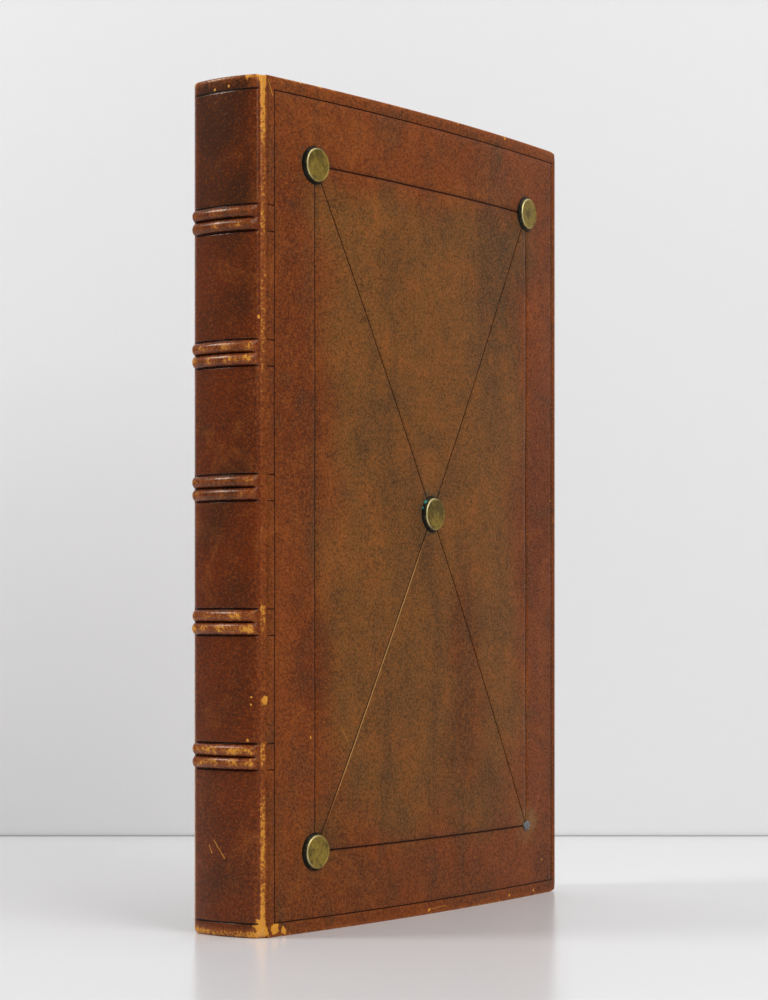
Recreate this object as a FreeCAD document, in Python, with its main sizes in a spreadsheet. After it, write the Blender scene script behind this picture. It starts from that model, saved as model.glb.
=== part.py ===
import FreeCAD, Part
import math
import os
import re

import Sketcher

# A calf-bound book standing on its tail edge, in millimetres. The spine points to -X, the front
# cover faces -Y, and the origin is under the middle of the book. Each piece is drawn in book
# coordinates (x = 0 at the joint ridge, y = 0 midway between the covers) and then seated.

sizes = {
    # Covers
    "board_height": 310,  # covers, head to tail
    "cover_width": 197,  # joint ridge to fore-edge
    "cover_bow": 5,  # how far a warped cover stands out in the middle
    "board_thick": 3,
    "leather": 0.9,
    "turn_in_thick": 0.4,  # leather is pared where it turns in
    "turn_in_width": 16,
    "paper": 0.25,
    "pastedown_inset": 4,
    "edge_round": 0.6,
    "corner_round": 2,
    # Spine and joints
    "spine_width": 30,  # across the shoulders at the ridges
    "shoulder_width": 2.5,
    "back_round": 2.4,  # how far the rounded back stands out
    "spine_corner_round": 1,
    "joint_step": 1.6,  # covers stand this far out past the shoulders
    "joint_gap": 0.5,
    "joint_round": 1.5,
    "lining_thick": 0.4,
    "cap_depth": 3.4,  # leather folded over a headband
    "cap_hollow": 1.1,
    "cap_thick": 1,
    "spine_turn_in": 12,
    # Raised double bands
    "band_count": 5,
    "lowest_band": 65,  # tail edge to the middle of the first band
    "highest_band": 51.4,  # middle of the last band to the head edge
    "ridge_spacing": 4.6,
    "ridge_width": 4.4,
    "ridge_haunch": 3.7,
    "ridge_crest": 1.7,
    "band_rise": 1.9,
    "band_reach": 14,  # each way from the middle of the back
    "band_slope": 2.5,  # where the bands' ends run down to the back
    "cord_reach": 11,
    "cord_foot": 2.4,
    "cord_width": 3,
    "cord_top": 1.4,
    "crease_from_band": 4.75,
    "crease_width": 0.9,
    "crease_depth": 0.35,
    "cap_crease": 5.2,
    "slip_length": 12,
    "slip_width": 2.2,
    "slip_thick": 0.6,
    # Leaves
    "square_width": 3.5,  # covers stand this far past the leaves
    "block_bow": 3.8,
    "opening_gap": 0.3,
    "headband_thick": 2,
    "headband_reach": 11.5,
    # Blind-ruled lines
    "rule_width": 0.7,
    "rule_depth": 0.25,
    "border_at_joint": 5,
    "border_at_fore": 4,
    "border_at_ends": 5,
    # Bosses and their nails
    "boss_from_side": 26.6,
    "boss_from_end": 29.3,
    "boss_wide": 14.5,
    "boss_face": 12.4,
    "boss_tall": 1.75,
    "boss_lip": 0.6,
    "boss_dish": 0.2,
    "nail_head": 4.7,
    "nail_head_tall": 1,
    "nail_head_taper": 12,  # degrees
    "nail_shank": 1.5,  # a square shank
    "nail_clearance": 0.05,
}

# Sizes that follow from the ones above
worked_out = {
    "mid_x": "(cover_width - shoulder_width - back_round - band_rise) / 2",
    "mid_y": "boss_tall / 2",
    "cover_thick": "leather + board_thick + turn_in_thick + paper",
    # The cover's outer face is one arc from the joint to the fore-edge
    "cover_span": "cover_width - joint_gap",
    "cover_chord": "sqrt(cover_span ^ 2 + joint_step ^ 2)",
    "cover_radius": "cover_chord ^ 2 / (8 * cover_bow) + cover_bow / 2",
    "cover_cx": "(cover_width + joint_gap) / 2"
                " - (cover_radius - cover_bow) * joint_step / cover_chord",
    "cover_cy": "(cover_radius - cover_bow) * cover_span / cover_chord"
                " - (spine_width + joint_step) / 2",
    "band_pitch": "(board_height - lowest_band - highest_band) / (band_count - 1)",
    # The rounded back, in plan
    "back_radius": "((spine_width / 2) ^ 2 + back_round ^ 2) / (2 * back_round)",
    "back_cx": "back_radius - back_round - shoulder_width",
    "shoulder_y": "spine_width / 2 - leather",
    "skin_radius": "back_radius - leather",
    "cord_crest": "back_radius + band_rise - leather",
    "band_end_x": "back_cx - sqrt(back_radius ^ 2 - band_reach ^ 2)",
    "crest_y": "(band_reach - band_slope) * (back_radius + band_rise) / back_radius",
    "crest_x": "back_cx - sqrt((back_radius + band_rise) ^ 2 - crest_y ^ 2)",
    "cap_radius": "(shoulder_y ^ 2 + cap_hollow ^ 2) / (2 * cap_hollow)",
    "cap_lip_x": "cap_depth + cap_hollow - shoulder_width - back_round",
    "block_radius": "back_radius - leather - lining_thick",
    "skin_x": "back_cx - sqrt(skin_radius ^ 2 - shoulder_y ^ 2)",
    "block_x": "back_cx - sqrt(block_radius ^ 2 - shoulder_y ^ 2)",
    # The leaves between the covers
    "leaf_x": "cover_width - square_width",
    "leaf_fore_y": "spine_width / 2 - cover_thick - opening_gap - paper",
    "leaf_spine_y": "leaf_fore_y + joint_step",
    "leaf_chord": "sqrt(leaf_x ^ 2 + joint_step ^ 2)",
    "leaf_radius": "leaf_chord ^ 2 / (8 * block_bow) + block_bow / 2",
    "leaf_cx": "leaf_x / 2 - (leaf_radius - block_bow) * joint_step / leaf_chord",
    "leaf_cy": "(leaf_radius - block_bow) * leaf_x / leaf_chord - (leaf_spine_y + leaf_fore_y) / 2",
    "fore_radius": "(leaf_fore_y ^ 2 + back_round ^ 2) / (2 * back_round)",
}

document = FreeCAD.newDocument("leather_book")
sheet = document.addObject("Spreadsheet::Sheet", "sizes")
for row, (alias, content) in enumerate(list(sizes.items()) + list(worked_out.items()), start=1):
    sheet.set(f"A{row}", alias)
    sheet.set(f"B{row}", str(content) if alias in sizes else f"={content}")
    sheet.setAlias(f"B{row}", alias)
document.recompute()

nodes = []


def in_sheet(formula):
    # Puts the sheet's name before each size in a formula
    known = lambda word: f"sizes.{word[0]}" if word[0] in sizes or word[0] in worked_out else word[0]
    return re.sub(r"[a-z][a-z_]*", known, str(formula))


def number(formula):
    return float(sheet.evalExpression(in_sheet(formula)))


def bind(item, path, formula):
    item.setExpression(path, in_sheet(formula))


def new_body(name):
    return document.addObject("PartDesign::Body", name)


def new_sketch(body, name, plane, lift="0", shift="0"):
    # lift moves the sketch off its plane, and shift moves its upright axis along X
    sketch = body.newObject("Sketcher::SketchObject", name)
    origin_plane = next(item for item in body.Origin.OriginFeatures if item.Role == plane)
    sketch.AttachmentSupport = [(origin_plane, "")]
    sketch.MapMode = "FlatFace"
    bind(sketch, "AttachmentOffset.Base.z", lift)
    bind(sketch, "AttachmentOffset.Base.x", shift)
    return sketch


def bent_edge(start, end, radius):
    # A positive radius bends to the right of the way from start to end, and a negative one left
    half = (end - start) * 0.5
    reach = (radius * radius - half.Length ** 2) ** 0.5
    side = 1 if radius > 0 else -1
    across = FreeCAD.Vector(-half.y, half.x, 0).normalize() * (side * reach)
    centre = start + half + across
    first, last = (start, end) if radius > 0 else (end, start)
    circle = Part.Circle(centre, FreeCAD.Vector(0, 0, 1), abs(radius))
    return Part.ArcOfCircle(circle, circle.parameter(first), circle.parameter(last))


def draw(sketch, corners):
    # corners: (x, y, radius of the edge that leaves this corner, or None for a straight one)
    base = sketch.GeometryCount
    spots = [FreeCAD.Vector(number(x), number(y), 0) for x, y, bend in corners]
    starts = []
    for index, (x, y, bend) in enumerate(corners):
        start, end = spots[index], spots[(index + 1) % len(spots)]
        if bend is None:
            sketch.addGeometry(Part.LineSegment(start, end))
        else:
            sketch.addGeometry(bent_edge(start, end, number(bend)))
        starts.append(2 if bend is not None and number(bend) < 0 else 1)
    for index, (x, y, bend) in enumerate(corners):
        edge = base + index
        before = (index - 1) % len(corners)
        spot = (edge, starts[index])
        sketch.addConstraint(Sketcher.Constraint("Coincident", *spot, base + before, 3 - starts[before]))
        for kind, formula, place in (("DistanceX", x, spots[index].x), ("DistanceY", y, spots[index].y)):
            held = sketch.addConstraint(Sketcher.Constraint(kind, -1, 1, *spot, place))
            bind(sketch, f"Constraints[{held}]", formula)
        if bend is not None:
            held = sketch.addConstraint(Sketcher.Constraint("Radius", edge, abs(number(bend))))
            bind(sketch, f"Constraints[{held}]", f"abs({bend})")


def block(x0, y0, x1, y1):
    return [(x0, y0, None), (x1, y0, None), (x1, y1, None), (x0, y1, None)]


def prism(body, kind, name, outline, low, tall):
    # A pad or pocket of one outline in plan, from low upwards
    sketch = new_sketch(body, f"{name}_outline", "XY_Plane", low)
    draw(sketch, outline)
    feature = body.newObject(f"PartDesign::{kind}", name)
    feature.Profile = sketch
    feature.Reversed = kind == "Pocket"
    bind(feature, "Length", tall)
    return feature


def through(body, kind, name, outlines, reach):
    # A pad or pocket of outlines seen from the front, both ways through the book's thickness
    sketch = new_sketch(body, f"{name}_outline", "XZ_Plane")
    for outline in outlines:
        draw(sketch, outline)
    feature = body.newObject(f"PartDesign::{kind}", name)
    feature.Profile = sketch
    feature.Midplane = True
    bind(feature, "Length", reach)
    return feature


def turned(body, kind, name, outlines, axis, half_reach, radius):
    # A revolution or groove about an upright axis, as wide as half_reach each side
    sketch = new_sketch(body, f"{name}_outline", "XZ_Plane", shift=axis)
    for outline in outlines:
        draw(sketch, outline)
    feature = body.newObject(f"PartDesign::{kind}", name)
    feature.Profile = sketch
    feature.ReferenceAxis = (sketch, ["V_Axis"])
    feature.Midplane = True
    bind(feature, "Angle", f"2 * asin(({half_reach}) / ({radius}))")
    return feature


def up_the_back(body, features):
    # Repeats features, or the whole body if none are named, from the lowest band to the highest
    document.recompute()
    pattern = body.newObject("PartDesign::LinearPattern", f"{body.Name}_up_the_back")
    pattern.TransformMode = "Features" if features else "Whole shape"
    pattern.Originals = features
    upright = next(item for item in body.Origin.OriginFeatures if item.Role == "Z_Axis")
    pattern.Direction = (upright, [""])
    pattern.Mode = "Spacing"
    bind(pattern, "Offset", "band_pitch")
    bind(pattern, "Occurrences", "band_count")
    body.Tip = pattern


def edges_where(shape, wanted):
    # Names of the edges whose two ends and middle all pass a test
    names = []
    for index, edge in enumerate(shape.Edges, start=1):
        middle = edge.valueAt((edge.FirstParameter + edge.LastParameter) / 2)
        points = [vertex.Point for vertex in edge.Vertexes] + [middle]
        if all(wanted(point) for point in points):
            names.append(f"Edge{index}")
    return names


def rounded(body, name, wanted, radius):
    document.recompute()
    base = body.Tip
    fillet = body.newObject("PartDesign::Fillet", name)
    fillet.Base = (base, edges_where(base.Shape, wanted))
    bind(fillet, "Radius", radius)
    body.Tip = fillet


def near(value, formula):
    return abs(value - number(formula)) < 0.01


def seat(item, side="front"):
    # Puts a piece drawn in book coordinates over the origin. The back cover is a front one
    # turned over about the book's middle line.
    if side == "front":
        bind(item, "Placement", "placement(vector(-mid_x; mid_y; 0); rotation(0; 0; 0))")
    else:
        bind(item, "Placement", "placement(vector(-mid_x; mid_y; board_height); rotation(0; 0; 180))")


def seat_boss(item, x, z):
    # Stands a piece's Z axis square to the curved front cover at one point
    lean = f"asin(({x} - cover_cx) / cover_radius)"
    spot = f"vector({x} - mid_x; {cover_y(x, '0')} + mid_y; {z})"
    bind(item, "Placement", f"placement({spot}; rotation({lean}; 0; 90))")


def keep(item, label):
    item.Label = label
    nodes.append(item)
    return item


def cut(name, base, tools):
    # Takes the tools away from a body, as one shape
    tool = tools[0]
    if len(tools) > 1:
        tool = document.addObject("Part::MultiFuse", f"{name}_tools")
        tool.Shapes = tools
    result = document.addObject("Part::Cut", name)
    result.Base = base
    result.Tool = tool
    return result


def cover_y(x, depth):
    # The cover's face, depth under its outer skin, at distance x from the ridge
    return f"(cover_cy - sqrt((cover_radius - ({depth})) ^ 2 - ({x} - cover_cx) ^ 2))"


def cover_strip(outer, inner, x0, x1):
    # A bowed layer of the cover in plan, between two depths under its skin
    return [
        (x0, cover_y(x0, outer), f"cover_radius - ({outer})"),
        (x1, cover_y(x1, outer), None),
        (x1, cover_y(x1, inner), f"-(cover_radius - ({inner}))"),
        (x0, cover_y(x0, inner), None),
    ]


def back_shape(x, y, radius, front_x):
    # The region behind the rounded back: a flat front and one arc
    return [(x, f"-({y})", None), (front_x, f"-({y})", None), (front_x, y, None), (x, y, radius)]


def make_text_block():
    body = new_body("text_block")
    outline = [
        ("0", "-leaf_spine_y", "leaf_radius"),
        ("leaf_x", "-leaf_fore_y", "-fore_radius"),
        ("leaf_x", "leaf_fore_y", "leaf_radius"),
        ("0", "leaf_spine_y", None),
        ("0", "shoulder_y", None),
        ("block_x", "shoulder_y", "block_radius"),
        ("block_x", "-shoulder_y", None),
        ("0", "-shoulder_y", None),
    ]
    prism(body, "Pad", "leaves", outline, "square_width", "board_height - 2 * square_width")
    seat(body)
    keep(body, "text_block")


def leaf_y(x, rise):
    return f"(leaf_cy - sqrt((leaf_radius + {rise}) ^ 2 - ({x} - leaf_cx) ^ 2))"


def make_free_endpaper(side):
    body = new_body(f"{side}_free_endpaper")
    start = "opening_gap"
    outline = [
        (start, leaf_y(start, "paper"), "leaf_radius + paper"),
        ("leaf_x", leaf_y("leaf_x", "paper"), None),
        ("leaf_x", leaf_y("leaf_x", "0"), "-leaf_radius"),
        (start, leaf_y(start, "0"), None),
    ]
    prism(body, "Pad", f"{side}_leaf", outline, "square_width", "board_height - 2 * square_width")
    seat(body, side)
    keep(body, f"{side}_free_endpaper")


def make_headband(end, middle):
    # A six-sided core worked along the back edge of the leaves
    body = new_body(f"headband_{end}")
    half = "headband_thick / 2"
    centre = f"-(block_radius - {half})"
    section = [
        (f"{centre} - {half}", f"{middle} - {half} / 2", None),
        (centre, f"{middle} - {half}", None),
        (f"{centre} + {half}", f"{middle} - {half} / 2", None),
        (f"{centre} + {half}", f"{middle} + {half} / 2", None),
        (centre, f"{middle} + {half}", None),
        (f"{centre} - {half}", f"{middle} + {half} / 2", None),
    ]
    turned(body, "Revolution", f"headband_{end}_core", [section], "back_cx",
           "headband_reach", "block_radius")
    seat(body)
    keep(body, f"headband_{end}")


def band_heights(side):
    # A back cover is drawn upside down, because seat turns it over
    heights = [f"(lowest_band + {index} * band_pitch)" for index in range(int(number("band_count")))]
    return heights if side == "front" else [f"(board_height - {height})" for height in heights]


def cord_section(z):
    # A cord flattened on the leaves under it and by the leather over it
    middle = "-(block_radius + cord_crest) / 2"
    return [
        ("-block_radius", f"{z} - cord_foot / 2", None),
        ("-block_radius", f"{z} + cord_foot / 2", None),
        (middle, f"{z} + cord_width / 2", None),
        ("-cord_crest", f"{z} + cord_top / 2", None),
        ("-cord_crest", f"{z} - cord_top / 2", None),
        (middle, f"{z} - cord_width / 2", None),
    ]


def make_cords():
    # Each band is sewn over two cords
    cords = []
    for index, middle in enumerate(band_heights("front"), start=1):
        body = new_body(f"sewing_cord_{index}")
        sections = [cord_section(f"{middle} {sign} ridge_spacing / 2") for sign in "-+"]
        turned(body, "Revolution", f"cord_pair_{index}", sections, "back_cx",
               "cord_reach", "back_radius")
        seat(body)
        cords.append(keep(body, f"sewing_cord_{index}"))
    return cords


def panel_ends():
    # Heights of the linings' panels: bottom and top of each, between the bands
    ends = ["spine_turn_in + square_width"]
    for middle in band_heights("front"):
        ends += [f"{middle} - crease_from_band", f"{middle} + crease_from_band"]
    ends.append("board_height - square_width - spine_turn_in")
    return list(zip(ends[0::2], ends[1::2]))


def back_layer(inner_x, inner_radius, outer_x, outer_radius):
    # A thin layer on the rounded back, from shoulder to shoulder
    return [
        (outer_x, "-shoulder_y", None),
        (inner_x, "-shoulder_y", f"-({inner_radius})"),
        (inner_x, "shoulder_y", None),
        (outer_x, "shoulder_y", outer_radius),
    ]


def make_spine_linings():
    body = new_body("spine_linings")
    for index, (low, high) in enumerate(panel_ends()):
        layer = back_layer("block_x", "block_radius", "skin_x", "skin_radius")
        prism(body, "Pad", f"lining_{index + 1}", layer, low, f"{high} - ({low})")
    seat(body)
    keep(body, "spine_linings")


def ridge_section(z):
    # One ridge of a band seen end on: steep sides, haunches and a flat crest, rooted in the
    # skin of the back
    outline = []
    for side in "+-":
        points = [
            ("-(back_radius - leather / 2)", f"{z} {side} ridge_width / 2", None),
            ("-back_radius", f"{z} {side} ridge_width / 2", None),
            ("-(back_radius + 0.55 * band_rise)", f"{z} {side} ridge_haunch / 2", None),
            ("-(back_radius + band_rise)", f"{z} {side} ridge_crest / 2", None),
        ]
        outline += points if side == "+" else points[::-1]
    return outline


def make_double_bands():
    # The leather raised over each pair of cords, with both ends sloping down to the back
    body = new_body("double_bands")
    sections = [ridge_section(f"lowest_band {sign} ridge_spacing / 2") for sign in "-+"]
    turned(body, "Revolution", "double_band", sections, "back_cx", "band_reach", "back_radius")
    left = [
        ("crest_x", "-crest_y", None),
        ("band_end_x", "-band_reach", None),
        ("crest_x - band_rise", "-(band_reach + band_rise)", None),
    ]
    right = [(x, f"-({y})", None) for x, y, bend in left]
    for name, outline in (("left", left), ("right", right)):
        prism(body, "Pocket", f"{name}_slope", outline, "lowest_band - ridge_spacing - ridge_width",
              "2 * (ridge_spacing + ridge_width)")
    up_the_back(body, [])
    seat(body)
    return body


def make_spine_leather(cords):
    # One skin over the back: five double raised bands, tooled creases, and a cap at each end
    body = new_body("spine_skin")
    envelope = back_shape("-shoulder_width", "spine_width / 2", "back_radius", "0")
    prism(body, "Pad", "spine_envelope", envelope, "0", "board_height")
    rounded(body, "spine_corners", lambda point: near(point.x, "-shoulder_width"), "spine_corner_round")
    lines = [crease_section(f"lowest_band {sign} crease_from_band") for sign in "-+"]
    crease = turned(body, "Groove", "band_creases", lines, "back_cx",
                    "spine_width / 2", "back_radius")
    up_the_back(body, [crease])
    ends = [crease_section(middle) for middle in ("cap_crease", "board_height - cap_crease")]
    turned(body, "Groove", "cap_creases", ends, "back_cx", "spine_width / 2", "back_radius")
    hollow = back_shape("skin_x", "shoulder_y", "skin_radius", "spine_width")
    prism(body, "Pocket", "spine_hollow", hollow, "0", "board_height")
    cap = [
        ("skin_x", "-shoulder_y", None),
        ("cap_lip_x", "-shoulder_y", "-cap_radius"),
        ("cap_lip_x", "shoulder_y", None),
        ("skin_x", "shoulder_y", "skin_radius"),
    ]
    turned_in = back_layer("block_x", "block_radius", "skin_x", "skin_radius")
    fold = "spine_turn_in + square_width - cap_thick"
    for end, cap_low, fold_low in (
        ("tail", "0", "cap_thick"),
        ("head", "board_height - cap_thick", "board_height - square_width - spine_turn_in"),
    ):
        prism(body, "Pad", f"{end}_cap", cap, cap_low, "cap_thick")
        prism(body, "Pad", f"{end}_turn_in", turned_in, fold_low, fold)
    seat(body)
    skin = document.addObject("Part::MultiFuse", "spine_skin_and_bands")
    skin.Shapes = [body, make_double_bands()]
    keep(cut("spine_leather", skin, cords), "spine_leather")


def crease_section(z):
    half = "crease_width / 2"
    return [
        ("-(back_radius + crease_depth)", f"({z}) - {half}", None),
        ("-(back_radius - crease_depth)", f"({z})", None),
        ("-(back_radius + crease_depth)", f"({z}) + {half}", None),
    ]


def make_slips(side):
    # The frayed ends of the cords, laced on to the board and pasted down in shallow channels
    body = new_body(f"{side}_slips")
    patches = []
    for middle in band_heights(side):
        for sign in "-+":
            centre = f"({middle} {sign} ridge_spacing / 2)"
            patches.append(block("joint_gap", f"{centre} - slip_width / 2",
                                 "joint_gap + slip_length", f"{centre} + slip_width / 2"))
    through(body, "Pad", f"{side}_slip_ends", patches, "4 * spine_width")
    beyond = cover_strip("-2 * spine_width", "leather", "0", "2 * slip_length")
    prism(body, "Pocket", f"{side}_slip_tops", beyond, "0", "board_height")
    under = cover_strip("leather + slip_thick", "4 * spine_width", "0", "2 * slip_length")
    prism(body, "Pocket", f"{side}_slip_backs", under, "0", "board_height")
    seat(body, side)
    return keep(body, f"{side}_slips")


def make_board(side, holes, slips):
    body = new_body(f"{side}_millboard")
    layer = cover_strip("leather", "leather + board_thick", "joint_gap", "cover_width - leather")
    prism(body, "Pad", f"{side}_board_blank", layer, "leather", "board_height - 2 * leather")
    edge = number(cover_y("joint_gap", "leather"))
    rounded(body, f"{side}_board_round",
            lambda point: near(point.x, "joint_gap") and abs(point.y - edge) < 0.01,
            "joint_round - leather / 2")
    seat(body, side)
    keep(cut(f"{side}_board", body, [slips] + holes), f"{side}_board")


def ruled_lines(side):
    # The blind-ruled lines, as walls that are cut off just under the skin
    body = new_body(f"{side}_rules")
    half = "rule_width / 2"

    def ring(x0, z0, x1, z1):
        inner = block(f"{x0} + {half}", f"{z0} + {half}", f"{x1} - {half}", f"{z1} - {half}")
        outer = block(f"{x0} - {half}", f"{z0} - {half}", f"{x1} + {half}", f"{z1} + {half}")
        return [outer, inner]

    rings = ring("border_at_joint", "border_at_ends",
                 "cover_width - border_at_fore", "board_height - border_at_ends")
    if side == "front":
        rings += ring("boss_from_side", "boss_from_end",
                      "cover_width - boss_from_side", "board_height - boss_from_end")
    through(body, "Pad", f"{side}_frames", rings, "4 * spine_width")
    ticks = []
    for middle in band_heights(side):
        for sign in "-+":
            centre = f"({middle} {sign} crease_from_band)"
            ticks.append(block("joint_gap - joint_round", f"{centre} - {half}",
                               "border_at_joint", f"{centre} + {half}"))
    through(body, "Pad", f"{side}_band_lines", ticks, "4 * spine_width")
    if side == "front":
        across = "(cover_width - 2 * boss_from_side)"
        up = "(board_height - 2 * boss_from_end)"
        length = f"sqrt({across} ^ 2 + {up} ^ 2)"
        shift_x = f"(rule_width / 2 * {up} / {length})"
        shift_z = f"(rule_width / 2 * {across} / {length})"
        x0, x1 = "boss_from_side", "(cover_width - boss_from_side)"
        z0, z1 = "boss_from_end", "(board_height - boss_from_end)"
        rising = [
            (f"{x0} + {shift_x}", f"{z0} - {shift_z}", None),
            (f"{x1} + {shift_x}", f"{z1} - {shift_z}", None),
            (f"{x1} - {shift_x}", f"{z1} + {shift_z}", None),
            (f"{x0} - {shift_x}", f"{z0} + {shift_z}", None),
        ]
        falling = [
            (f"{x0} - {shift_x}", f"{z1} - {shift_z}", None),
            (f"{x1} - {shift_x}", f"{z0} - {shift_z}", None),
            (f"{x1} + {shift_x}", f"{z0} + {shift_z}", None),
            (f"{x0} + {shift_x}", f"{z1} + {shift_z}", None),
        ]
        through(body, "Pad", "rising_diagonal", [rising], "4 * spine_width")
        through(body, "Pad", "falling_diagonal", [falling], "4 * spine_width")
    under = cover_strip("rule_depth", "6 * spine_width", "-joint_round", "cover_width + joint_round")
    prism(body, "Pocket", f"{side}_rule_floor", under, "0", "board_height")
    seat(body, side)
    return body


def on_rim(point):
    # The outer face's head, fore-edge and tail edges, with their rounded corners
    depth = number("cover_radius") - math.hypot(point.x - number("cover_cx"), point.y - number("cover_cy"))
    inset = min(number("cover_width") - point.x, point.z, number("board_height") - point.z)
    return abs(depth) < 0.01 and inset < number("corner_round") / 3


def make_cover_leather(side, holes):
    # The skin on one cover: outer face, edges, and turn-ins round an open window inside
    body = new_body(f"{side}_skin")
    depth = "leather + board_thick + turn_in_thick"
    envelope = cover_strip("0", depth, "joint_gap", "cover_width")
    prism(body, "Pad", f"{side}_envelope", envelope, "0", "board_height")
    ends = ("0", "board_height")
    rounded(body, f"{side}_corners",
            lambda point: near(point.x, "cover_width") and any(near(point.z, end) for end in ends),
            "corner_round")
    skin = number(cover_y("joint_gap", "0"))
    rounded(body, f"{side}_joint_round",
            lambda point: near(point.x, "joint_gap") and abs(point.y - skin) < 0.01, "joint_round")
    rounded(body, f"{side}_edges", on_rim, "edge_round")
    room = cover_strip("leather", "leather + board_thick", "-joint_round", "cover_width - leather")
    prism(body, "Pocket", f"{side}_board_room", room, "leather", "board_height - 2 * leather")
    window = cover_strip("leather + board_thick", "3 * board_thick",
                         "-joint_round", "cover_width - turn_in_width")
    prism(body, "Pocket", f"{side}_window", window, "turn_in_width",
          "board_height - 2 * turn_in_width")
    seat(body, side)
    tools = [ruled_lines(side)] + holes
    keep(cut(f"{side}_cover_leather", body, tools), f"{side}_cover_leather")


def make_pastedown(side):
    # Lies over the turn-ins, and fills the window between them
    body = new_body(f"{side}_pastedown")
    under = "leather + board_thick"
    start = "2 * joint_gap"
    face = cover_strip(f"{under} + turn_in_thick", "cover_thick", start, "cover_width - pastedown_inset")
    prism(body, "Pad", f"{side}_paper", face, "pastedown_inset", "board_height - 2 * pastedown_inset")
    sunk = cover_strip(under, f"{under} + turn_in_thick", start, "cover_width - turn_in_width")
    prism(body, "Pad", f"{side}_paper_in_window", sunk, "turn_in_width",
          "board_height - 2 * turn_in_width")
    seat(body, side)
    keep(body, f"{side}_pastedown")


def make_boss(name, x, z):
    # A low turned disc: slanting side, sharp rim, face sunk a little inside it, and a socket
    # over the nail's head
    body = new_body(name)
    sketch = new_sketch(body, f"{name}_section", "XZ_Plane")
    socket = "nail_head / 2 + nail_clearance"
    draw(sketch, [
        (socket, "0", None),
        ("boss_wide / 2", "0", None),
        ("boss_face / 2", "boss_tall", None),
        ("boss_face / 2 - boss_lip", "boss_tall - boss_dish", None),
        ("0", "boss_tall - boss_dish", None),
        ("0", "nail_head_tall + nail_clearance", None),
        (socket, "nail_head_tall + nail_clearance", None),
    ])
    disc = body.newObject("PartDesign::Revolution", f"{name}_disc")
    disc.Profile = sketch
    disc.ReferenceAxis = (sketch, ["V_Axis"])
    seat_boss(body, x, z)
    keep(body, name)


def square(half):
    return block(f"-({half})", f"-({half})", half, half)


def make_nail(name, x, z):
    # A hand-made nail: six-sided head, and a square shank clenched flush under the pastedown
    body = new_body(name)
    prism(body, "Pad", f"{name}_shank", square("nail_shank / 2"), "-(leather + board_thick)",
          "leather + board_thick")
    corners = [
        (f"nail_head / 2 * cos({turn})", f"nail_head / 2 * sin({turn})", None)
        for turn in range(0, 360, 60)
    ]
    head = prism(body, "Pad", f"{name}_head", corners, "0", "nail_head_tall")
    bind(head, "TaperAngle", "-nail_head_taper")
    seat_boss(body, x, z)
    keep(body, name)


def nail_hole(name, x, z):
    hole = new_body(f"{name}_hole")
    prism(hole, "Pad", f"{name}_way", square("nail_shank / 2 + nail_clearance"),
          "-2 * board_thick", "3 * board_thick")
    seat_boss(hole, x, z)
    return hole


def make_cover(side):
    holes = []
    if side == "front":
        near_spine, near_fore = "boss_from_side", "(cover_width - boss_from_side)"
        low, high = "boss_from_end", "(board_height - boss_from_end)"
        places = {
            "top_spine": (near_spine, high),
            "top_fore": (near_fore, high),
            "centre": ("(cover_width / 2)", "(board_height / 2)"),
            "bottom_spine": (near_spine, low),
            "bottom_fore": (near_fore, low),
        }
        for place, (x, z) in places.items():
            make_nail(f"nail_{place}", x, z)
            holes.append(nail_hole(f"nail_{place}", x, z))
            # The boss at the lower fore-edge corner is lost, and its nail is left bare
            if place != "bottom_fore":
                make_boss(f"boss_{place}", x, z)
    slips = make_slips(side)
    make_board(side, holes, slips)
    make_cover_leather(side, holes)
    make_pastedown(side)


make_text_block()
for cover_side in ("front", "back"):
    make_free_endpaper(cover_side)
make_headband("head", "board_height - square_width + headband_thick / 2")
make_headband("tail", "square_width - headband_thick / 2")
make_spine_leather(make_cords())
make_spine_linings()
for cover_side in ("front", "back"):
    make_cover(cover_side)
document.recompute()

for item in document.Objects:
    if "Invalid" in item.State or "Error" in item.State:
        raise RuntimeError(f"{item.Label} did not build: {item.State}")
for node in nodes:
    if node.Shape.isNull() or not node.Shape.isValid():
        raise RuntimeError(f"{node.Label} has no sound shape")

os.makedirs("parts", exist_ok=True)
for node in nodes:
    node.Shape.exportStep(f"parts/{node.Label}.step")
    box = node.Shape.BoundBox
    print(f"{node.Label}: {len(node.Shape.Solids)} solid(s), {node.Shape.Volume:.0f} mm3, "
          f"x {box.XMin:.1f}..{box.XMax:.1f}, y {box.YMin:.1f}..{box.YMax:.1f}, "
          f"z {box.ZMin:.1f}..{box.ZMax:.1f}")
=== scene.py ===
import math

import bmesh
import bpy
import numpy as np
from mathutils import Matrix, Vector


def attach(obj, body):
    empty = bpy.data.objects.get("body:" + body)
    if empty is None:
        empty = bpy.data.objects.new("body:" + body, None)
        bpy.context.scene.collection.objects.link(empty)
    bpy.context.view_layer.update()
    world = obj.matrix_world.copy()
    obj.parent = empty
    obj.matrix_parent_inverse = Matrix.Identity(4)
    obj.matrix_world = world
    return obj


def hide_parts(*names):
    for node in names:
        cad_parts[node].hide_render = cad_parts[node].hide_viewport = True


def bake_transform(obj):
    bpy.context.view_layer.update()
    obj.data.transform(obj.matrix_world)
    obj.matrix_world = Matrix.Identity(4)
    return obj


# A calf-bound book on its tail edge. Shapes are worked out in millimetres of the book (x from
# the joint ridge to the fore-edge, y across the boards, z up) and moved into the frame at the end.

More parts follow.
